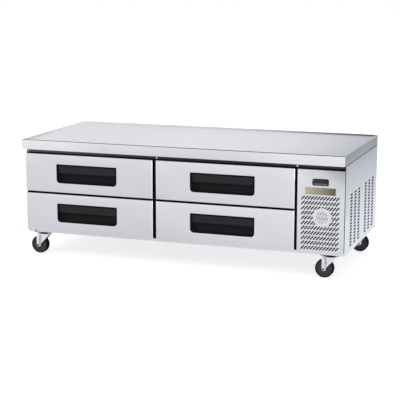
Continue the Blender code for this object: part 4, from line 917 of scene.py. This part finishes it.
def make_controller():
    """Mould the controller's bezel with its keys, key strip and lamp, and set its window in."""
    x, y, z = spans("controller_body")
    front = y[0]
    window = spans("controller_display")
    keys = {side: spans(f"controller_key_{side}") for side in ("up", "down")}
    free, wide_free = 0.0003, 0.0006
    bezel_thick, bezel_radius = 0.0032, 0.009
    bezel = rounded_block("controller_bezel", x, (front, front + bezel_thick), z, bezel_radius,
                          bezel_radius, 6)
    round_edges(bezel, ring_at(Y, front), 0.001, 2)
    cut(bezel, block("case", grown(x, -CASE_INSET[0]), (front + 0.002, y[1]),
                     grown(z, -CASE_INSET[1])), "UNION")
    cut(bezel, block("hole", grown(window[X], free), (front - CUT_PAST, front + 0.002),
                     grown(window[Z], free)))
    for side, key in keys.items():
        cut(bezel, block("hole", grown(key[X], free), (front - CUT_PAST, front + 0.0056),
                         grown(key[Z], free)))
        cap = block(f"key_cap_{side}", *key)
        round_edges(cap, ring_at(Y, key[Y][0]), 0.0006, 2)
        finished(cap, f"key_{side}", "key_grey", "black_plastic", f"controller_key_{side}")
    finished(bezel, "cabinet", "black_plastic", "black_plastic", "controller_body")

    strip = block("key_strip", grown(x, -0.0085), (front - 0.0003, front + 0.0004),
                  (z[0] + 0.0035, z[0] + 0.0135))
    for key in keys.values():
        cut(strip, block("hole", grown(key[X], wide_free), grown((front, front), CUT_PAST),
                         grown(key[Z], wide_free)))
    change(strip, "BEVEL", width=0.00015, segments=1)
    finished(strip, "cabinet", "strip_grey", "black_plastic")

    lamp_radius, lamp_inset, lamp_front = 0.0027, 0.0085, front - 0.0003
    lamp = round_bar("status_lamp", lamp_radius, (x[0] + lamp_inset, front, z[1] - lamp_inset), Y,
                     (lamp_front, front + 0.0010), 16)
    round_edges(lamp, ring_at(Y, lamp_front), 0.0008, 2)
    finished(lamp, "cabinet", "lamp_grey", "display")

    glass = block("display_window", *window)
    round_edges(glass, ring_at(Y, window[Y][0]), 0.0003, 1)
    finished(glass, "cabinet", "display", "display", "controller_display")
    make_digits(window)


def make_digits(window):
    """Lay the three lit digits on the window, from bars with a little air between them."""
    height, width, thick, air, pitch = 0.0105, 0.0058, 0.0012, 0.0002, 0.009
    bars = []
    for place, digit in enumerate("383", -1):
        for across, up, upright in (BARS[letter] for letter in DIGIT_BARS[digit]):
            u = middle(window[X]) + place * pitch + across * width / 2
            v = middle(window[Z]) + up * height / 4
            wide, high = (thick, height / 2) if upright else (width, thick)
            bars.append(block("bar", grown((u, u), wide / 2 - air),
                              (window[Y][0] - 0.0002, window[Y][0] + 0.0001),
                              grown((v, v), high / 2 - air)))
    digits = together("display_digits", bars)
    change(digits, "BEVEL", width=0.0003, segments=1, affect="EDGES")
    finished(digits, "cabinet", "lit_digits", "display")


def make_badge():
    """Press the nameplate: a bevelled edge and a raised border round a bare field."""
    x, y, z = spans("nameplate")
    corner, bevel, border, slope, depth = 0.002, 0.0004, 0.0012, 0.0004, 0.0004
    badge = rounded_block("badge_plate", x, y, z, corner, corner, 3)
    round_edges(badge, ring_at(Y, y[0]), bevel, 1)
    sink(badge, facing(Y, -1), ((border, slope), (0, depth, 0)))
    finished(badge, "cabinet", "bronze_plate", "bronze_plate", "nameplate")


def make_wheels():
    """Mould one wheel with a dished face and a hub, and copy it to the four casters."""
    x, y, z = spans("front_left_caster_wheel")
    centre = Vector((middle(x), middle(y), middle(z)))
    radius, shoulder, tread_from, bore_radius = 0.050, 0.004, 0.0440, 0.0053
    wall, groove, hub_edge, dish_width, dish_depth = 0.0025, 0.0045, 0.001, 0.020, 0.004
    wheel = round_bar("wheel", radius, centre, Y, y, 48)
    for side, edge in ((-1, y[0]), (1, y[1])):
        round_edges(wheel, ring_at(Y, edge), shoulder, 4)
        sink(wheel, facing(Y, side),
             ((wall, groove, 2 * hub_edge), (0, -side * dish_depth, 0)),
             ((dish_width, hub_edge), (0, side * dish_depth, 0)))
    cut(wheel, round_bar("bore", bore_radius, centre, Y, grown(y, CUT_PAST), 24))
    for caster in CASTERS:
        node = f"{caster}_caster"
        axle = Vector([middle(span) for span in spans(f"{node}_wheel")])
        twin = copied(wheel, f"{caster}_wheel", axle - centre)
        finished(twin, f"{node}_roller", "wheel_black", "wheel_black", f"{node}_wheel")

        def choose(face):
            away = hypot(face.center.x - axle.x, face.center.z - axle.z)
            return "tread_black" if away > tread_from else None
        dress(twin, choose, "tread_black")
    drop(wheel)


def softened(node, name, body, finish_name, slot, radius, segments=2):
    """Copy a node, merge its loose triangles into whole faces and break its sharp edges."""
    piece = bpy.data.objects.new(name, frame["nodes"][node].data.copy())
    bpy.context.scene.collection.objects.link(piece)
    pick_all(piece)
    bpy.ops.mesh.remove_doubles(threshold=0.00002)
    bpy.ops.mesh.dissolve_limited(angle_limit=radians(2))
    leave()
    change(piece, "BEVEL", width=radius, segments=segments, limit_method="ANGLE",
           angle_limit=radians(40), use_clamp_overlap=True)
    finished(piece, body, finish_name, slot, node)


def hex_bolt(place):
    """Make a hexagon bolt head on a washer; both hang down from the place."""
    radius, height, washer_height, washer_share = 0.0065, 0.0042, 0.0012, 1.35
    head = round_bar("bolt", radius, place, Z, (place[Z] - height, place[Z]), 6)
    round_edges(head, ring_at(Z, place[Z] - height), radius * 0.12, 1)
    washer = round_bar("washer", radius * washer_share, place, Z,
                       (place[Z] - washer_height, place[Z]), 20)
    return together("bolt", [head, washer])


def make_caster_metal():
    """Break the edges of the casters' plates and forks, and bolt the plates on."""
    rib_width, rib_z, rib_thick = 0.015, (0.041, 0.108), 0.0012
    axle_height, nut_radius, nut_thick = 0.050, 0.0058, 0.0048
    bolt_inset = Vector((0.0135, 0.0125))
    for caster in CASTERS:
        node = f"{caster}_caster"
        swivel = f"{node}_swivel"
        # The top plates take the dark zinc as painted shade under the cabinet.
        softened(f"{node}_plate", f"{node}_top_plate", "cabinet", "dark_zinc_and_shade", "zinc", 0.0008)
        softened(f"{node}_fork", f"{node}_fork_pressing", swivel, "zinc", "zinc", 0.0008)
        fork_y = spans(f"{node}_fork")[Y]
        axle = middle(spans(f"{node}_wheel")[X])
        for side, end, out in (("front", fork_y[0], -1), ("rear", fork_y[1], 1)):
            rib = rounded_block(f"{node}_rib_{side}", grown((axle, axle), rib_width / 2),
                                sorted((end, end + out * rib_thick)), rib_z, top_radius=0.002,
                                bottom_radius=0.0074)
            round_edges(rib, ring_at(Y, end + out * rib_thick), 0.0006, 2)
            nut = round_bar(f"{node}_nut_{side}", nut_radius, (axle, end, axle_height), Y,
                            sorted((end + out * 0.001, end + out * nut_thick)), 6)
            round_edges(nut, ring_at(Y, end + out * nut_thick), 0.0006, 1)
            finished(rib, swivel, "zinc", "zinc")
            finished(nut, swivel, "dark_zinc_and_shade", "zinc")
        x, y, z = spans(f"{node}_plate")
        plate_underside = z[1] - 0.003
        first = hex_bolt((x[0] + bolt_inset.x, y[0] + bolt_inset.y, plate_underside))
        bolts = [copied(first, "bolt", (dx, dy, 0))
                 for dx in (0, x[1] - x[0] - 2 * bolt_inset.x)
                 for dy in (0, y[1] - y[0] - 2 * bolt_inset.y)]
        drop(first)
        finished(together(f"{node}_bolts", bolts), "cabinet", "zinc", "zinc")


def make_screws(sizes):
    """Set pan-head screws round the back panel."""
    x, y, z = spans("back_panel")
    head, from_side, from_edge, spaces = y[1] + 0.0022, 0.012, 0.010, 8
    first = round_bar("screw", sizes.screw_radius, (0, y[1], 0), Y, (y[1], head), 16)
    round_edges(first, ring_at(Y, head), 0.0016, 2)
    left, right = grown(x, -from_side)
    columns = [left + index * (right - left) / spaces for index in range(spaces + 1)]
    places = [(column, row) for column in columns for row in grown(z, -from_edge)]
    places += [(column, middle(z)) for column in (left, right)]
    screws = [copied(first, "screw", (across, 0, up)) for across, up in places]
    drop(first)
    finished(together("back_panel_screws", screws), "cabinet", "zinc", "zinc")


def make_inner_parts():
    """Break the edges of the drawers' seals, rails and inner doors, the compressor and the inlet."""
    for drawer in DRAWERS:
        node = f"{drawer}_drawer"
        softened(f"{node}_gasket", f"{node}_seal", node, "gasket", "gasket", 0.0018)
        softened(f"{node}_pan_frame", f"{node}_pan_rails", node, "galvanised", "galvanised",
                 0.0004, 1)
        softened(f"{node}_core", f"{node}_inner_door", node, "white_liner", "white_liner", 0.0015)
    softened("compressor", "compressor_can", "cabinet", "black_enamel", "black_enamel", 0.0012)
    softened("power_inlet", "appliance_inlet", "cabinet", "black_plastic", "black_plastic", 0.0008)


def finish_kept_nodes():
    """Give every node of the frame the finish of its slot in the record."""
    for entry in frame["record"]["subparts"]:
        node, slot = entry["node"], entry["material_slot"]
        if slot == "stainless":
            slot = "side_steel" if node == "left_side_panel" else "front_steel"
        for held in frame["nodes"][node].material_slots:
            held.material = finish(slot)


# Stage

CAMERA_PLACE = (2.2547, -6.379, 1.6396)
CAMERA_DOWN, CAMERA_TURN = 11.182, 19.556       # degrees below level, and to the left
CAMERA_LENS, CAMERA_SENSOR, CAMERA_REACH = 109.43, 36, 100

# Each lamp has its place, what it aims at, its size in metres and its power in watts
LAMPS = {
    "key lamp": ((-2.6, -3.4, 3.6), (0, 0, 0.35), 2.6, 45),
    "fill lamp": ((3.4, -1.8, 1.5), (0.6, 0, 0.25), 2.2, 18),
    "back lamp": ((-1.5, 3.6, 3.2), (0, 0, 0.5), 2.8, 14),
}

# Each card has its width and depth, its place and turn, and its two tones with the places along it
# between which they blend
CARDS = {
    "right card": ((5.4, 2.6), (0.3, 3.0, 1.31), (pi / 2, 0, 0), ("#ffffff", "#dadde2"),
                   (-1.4, 0.8)),
    "ceiling card": ((9.0, 9.0), (0, 0, 5.0), (0, 0, 0), ("#a9acb1", "#a2a5aa"), (-4.0, 4.0)),
}


def seen_as_background(tree):
    """Give 1 where the camera, a reflection or a clear part looks, and 0 for light on surfaces."""
    path = add_node(tree, "ShaderNodeLightPath")
    seen = add_node(tree, "ShaderNodeMath", {"operation": "MAXIMUM"},
                    {0: path.outputs["Is Camera Ray"], 1: path.outputs["Is Glossy Ray"]})
    return add_node(tree, "ShaderNodeMath", {"operation": "MAXIMUM"},
                    {0: seen.outputs[0], 1: path.outputs["Is Transmission Ray"]}).outputs[0]


def make_card(name, size, place, turn, tones, ends):
    """Stand a studio card that shows only in reflections, its tones graduated across it."""
    card = plane(name, size, place, turn)
    material, tree, shader, spot = started(name, 0.0, 1.45)
    parts = add_node(tree, "ShaderNodeSeparateXYZ", None, {0: spot})
    across = add_node(tree, "ShaderNodeMapRange", {"From Min": ends[0], "From Max": ends[1]},
                      {"Value": parts.outputs["X"]})
    mix = add_node(tree, "ShaderNodeMix", {"data_type": "RGBA", 6: linear(tones[0]),
                                           7: linear(tones[1])}, {0: across.outputs[0]})
    shader.inputs["Roughness"].default_value = 0.9
    shader.inputs["Base Color"].default_value = (0, 0, 0, 1)
    shader.inputs["Specular IOR Level"].default_value = 0
    tree.links.new(mix.outputs[2], shader.inputs["Emission Color"])
    shader.inputs["Emission Strength"].default_value = 1
    card.data.materials.append(material)
    card.visible_camera = card.visible_diffuse = card.visible_shadow = False


def make_floor():
    """Lay the pale floor: it glows a little to the camera and in reflections, to show as white."""
    floor = plane("floor", (60, 60))
    material, tree, shader, place = started("white studio floor", 0.0, 1.45)
    shader.inputs["Roughness"].default_value = 0.9
    wide = add_node(tree, "ShaderNodeTexNoise", {"Scale": 0.4}, {"Vector": place})
    mix = add_node(tree, "ShaderNodeMix", {"data_type": "RGBA", 6: linear("#c6c7c8"),
                                           7: linear("#cbcbcc")}, {0: wide.outputs["Fac"]})
    tree.links.new(mix.outputs[2], shader.inputs["Base Color"])
    glow_in_all, more_to_camera = 0.39, 0.30
    mirrored = add_node(tree, "ShaderNodeMath", {"operation": "MULTIPLY", 1: glow_in_all},
                        {0: seen_as_background(tree)})
    path = add_node(tree, "ShaderNodeLightPath")
    glow = add_node(tree, "ShaderNodeMath", {"operation": "MULTIPLY_ADD", 1: more_to_camera},
                    {0: path.outputs["Is Camera Ray"], 2: mirrored.outputs[0]})
    shader.inputs["Emission Color"].default_value = (1, 1, 1, 1)
    tree.links.new(glow.outputs[0], shader.inputs["Emission Strength"])
    floor.data.materials.append(material)


def make_world():
    """Fill the world with white: plain white where it is seen, and a softer light on surfaces."""
    world = bpy.data.worlds.new("white studio")
    bpy.context.scene.world = world
    world.use_nodes = True
    tree = world.node_tree
    backdrop = tree.nodes["Background"]
    level = add_node(tree, "ShaderNodeMapRange", {"To Min": 0.72, "To Max": 1.0},
                     {"Value": seen_as_background(tree)})
    tree.links.new(level.outputs[0], backdrop.inputs["Strength"])
    backdrop.inputs["Color"].default_value = (1, 1, 1, 1)


def make_stage():
    """Lay the floor, set the lamps, cards and white world, and stand the camera at the photo's angle."""
    make_floor()
    make_world()
    for name, (place, aim, size, power) in LAMPS.items():
        data = bpy.data.lights.new(name, "AREA")
        data.shape = "SQUARE"
        data.size = size
        data.energy = power
        lamp = bpy.data.objects.new(name, data)
        bpy.context.scene.collection.objects.link(lamp)
        lamp.location = place
        lamp.rotation_euler = (Vector(aim) - Vector(place)).to_track_quat("-Z", "Y").to_euler()
    for name, card in CARDS.items():
        make_card(name, *card)
    data = bpy.data.cameras.new("camera")
    data.lens = CAMERA_LENS
    data.sensor_width = CAMERA_SENSOR
    data.clip_end = CAMERA_REACH
    camera = bpy.data.objects.new("camera", data)
    bpy.context.scene.collection.objects.link(camera)
    camera.location = CAMERA_PLACE
    camera.rotation_euler = (radians(90 - CAMERA_DOWN), 0, radians(CAMERA_TURN))
    bpy.context.scene.camera = camera
    bpy.context.scene.view_settings.view_transform = "Standard"


# Operators, in the order in which the pieces are made

class CHEFBASE_OT_kept(bpy.types.Operator):
    """Give the frame's own nodes their finishes"""
    bl_idname = "chef_base.kept"
    bl_label = "Frame finishes"

    def execute(self, context):
        finish_kept_nodes()
        return {"FINISHED"}


class CHEFBASE_OT_worktop(bpy.types.Operator):
    """Fold the worktop"""
    bl_idname = "chef_base.worktop"
    bl_label = "Worktop"

    def execute(self, context):
        make_worktop(context.scene.chef_base_sizes)
        return {"FINISHED"}


class CHEFBASE_OT_fronts(bpy.types.Operator):
    """Fold the four drawer fronts"""
    bl_idname = "chef_base.fronts"
    bl_label = "Drawer fronts"

    def execute(self, context):
        make_fronts(context.scene.chef_base_sizes)
        return {"FINISHED"}


class CHEFBASE_OT_handles(bpy.types.Operator):
    """Mould the four recessed pulls"""
    bl_idname = "chef_base.handles"
    bl_label = "Handles"

    def execute(self, context):
        make_handles()
        return {"FINISHED"}


class CHEFBASE_OT_cover(bpy.types.Operator):
    """Fold and punch the machine cover, with its ring, the motor's cap and the base's lip"""
    bl_idname = "chef_base.cover"
    bl_label = "Machine cover"

    def execute(self, context):
        make_cover(context.scene.chef_base_sizes)
        return {"FINISHED"}


class CHEFBASE_OT_filter(bpy.types.Operator):
    """Lay the air filters behind the cover and the side panel"""
    bl_idname = "chef_base.filter"
    bl_label = "Air filters"

    def execute(self, context):
        make_filter()
        return {"FINISHED"}


class CHEFBASE_OT_side_panel(bpy.types.Operator):
    """Cut the slotted side panel"""
    bl_idname = "chef_base.side_panel"
    bl_label = "Side panel"

    def execute(self, context):
        make_side_panel(context.scene.chef_base_sizes)
        return {"FINISHED"}


class CHEFBASE_OT_controller(bpy.types.Operator):
    """Mould the controller"""
    bl_idname = "chef_base.controller"
    bl_label = "Controller"

    def execute(self, context):
        make_controller()
        return {"FINISHED"}


class CHEFBASE_OT_badge(bpy.types.Operator):
    """Press the bare nameplate"""
    bl_idname = "chef_base.badge"
    bl_label = "Nameplate"

    def execute(self, context):
        make_badge()
        return {"FINISHED"}


class CHEFBASE_OT_wheels(bpy.types.Operator):
    """Mould the four wheels"""
    bl_idname = "chef_base.wheels"
    bl_label = "Wheels"

    def execute(self, context):
        make_wheels()
        return {"FINISHED"}


class CHEFBASE_OT_rail(bpy.types.Operator):
    """Fold the top rail"""
    bl_idname = "chef_base.rail"
    bl_label = "Rail"

    def execute(self, context):
        make_rail()
        return {"FINISHED"}


class CHEFBASE_OT_caster_metal(bpy.types.Operator):
    """Finish the casters' plates, forks and bolts"""
    bl_idname = "chef_base.caster_metal"
    bl_label = "Caster metal"

    def execute(self, context):
        make_caster_metal()
        return {"FINISHED"}


class CHEFBASE_OT_screws(bpy.types.Operator):
    """Set the screws of the back panel"""
    bl_idname = "chef_base.screws"
    bl_label = "Screws"

    def execute(self, context):
        make_screws(context.scene.chef_base_sizes)
        return {"FINISHED"}


class CHEFBASE_OT_inner_parts(bpy.types.Operator):
    """Soften the parts inside"""
    bl_idname = "chef_base.inner_parts"
    bl_label = "Inner parts"

    def execute(self, context):
        make_inner_parts()
        return {"FINISHED"}


class CHEFBASE_OT_stage(bpy.types.Operator):
    """Set the floor, lamps and camera"""
    bl_idname = "chef_base.stage"
    bl_label = "Stage"

    def execute(self, context):
        make_stage()
        return {"FINISHED"}


PIECES = (
    CHEFBASE_OT_kept, CHEFBASE_OT_worktop, CHEFBASE_OT_fronts, CHEFBASE_OT_handles,
    CHEFBASE_OT_cover, CHEFBASE_OT_filter, CHEFBASE_OT_side_panel, CHEFBASE_OT_controller,
    CHEFBASE_OT_badge, CHEFBASE_OT_wheels, CHEFBASE_OT_rail, CHEFBASE_OT_caster_metal,
    CHEFBASE_OT_screws, CHEFBASE_OT_inner_parts, CHEFBASE_OT_stage,
)


class CHEFBASE_PT_panel(bpy.types.Panel):
    """Lists the pieces in the order in which they are made, and the sizes and colours."""
    bl_idname = "CHEFBASE_PT_panel"
    bl_label = "Chef base"
    bl_space_type = "VIEW_3D"
    bl_region_type = "UI"
    bl_category = "Chef base"

    def draw(self, context):
        for piece in PIECES:
            self.layout.operator(piece.bl_idname)
        for group in (context.scene.chef_base_sizes, context.scene.chef_base_colours):
            for name in group.bl_rna.properties.keys():
                if name not in ("rna_type", "name"):
                    self.layout.prop(group, name)


CLASSES = (ChefBaseSizes, ChefBaseColours, *PIECES, CHEFBASE_PT_panel)


def register():
    """Register the classes, and give the scene its sizes and colours."""
    for one in CLASSES:
        bpy.utils.register_class(one)
    bpy.types.Scene.chef_base_sizes = bpy.props.PointerProperty(type=ChefBaseSizes)
    bpy.types.Scene.chef_base_colours = bpy.props.PointerProperty(type=ChefBaseColours)


def unregister():
    """Take the sizes, colours and classes away again."""
    del bpy.types.Scene.chef_base_colours
    del bpy.types.Scene.chef_base_sizes
    for one in reversed(CLASSES):
        bpy.utils.unregister_class(one)


def main():
    """Build every piece in order."""
    register()
    for piece in PIECES:
        group, name = piece.bl_idname.split(".")
        getattr(getattr(bpy.ops, group), name)()


if __name__ == "__main__":
    main()
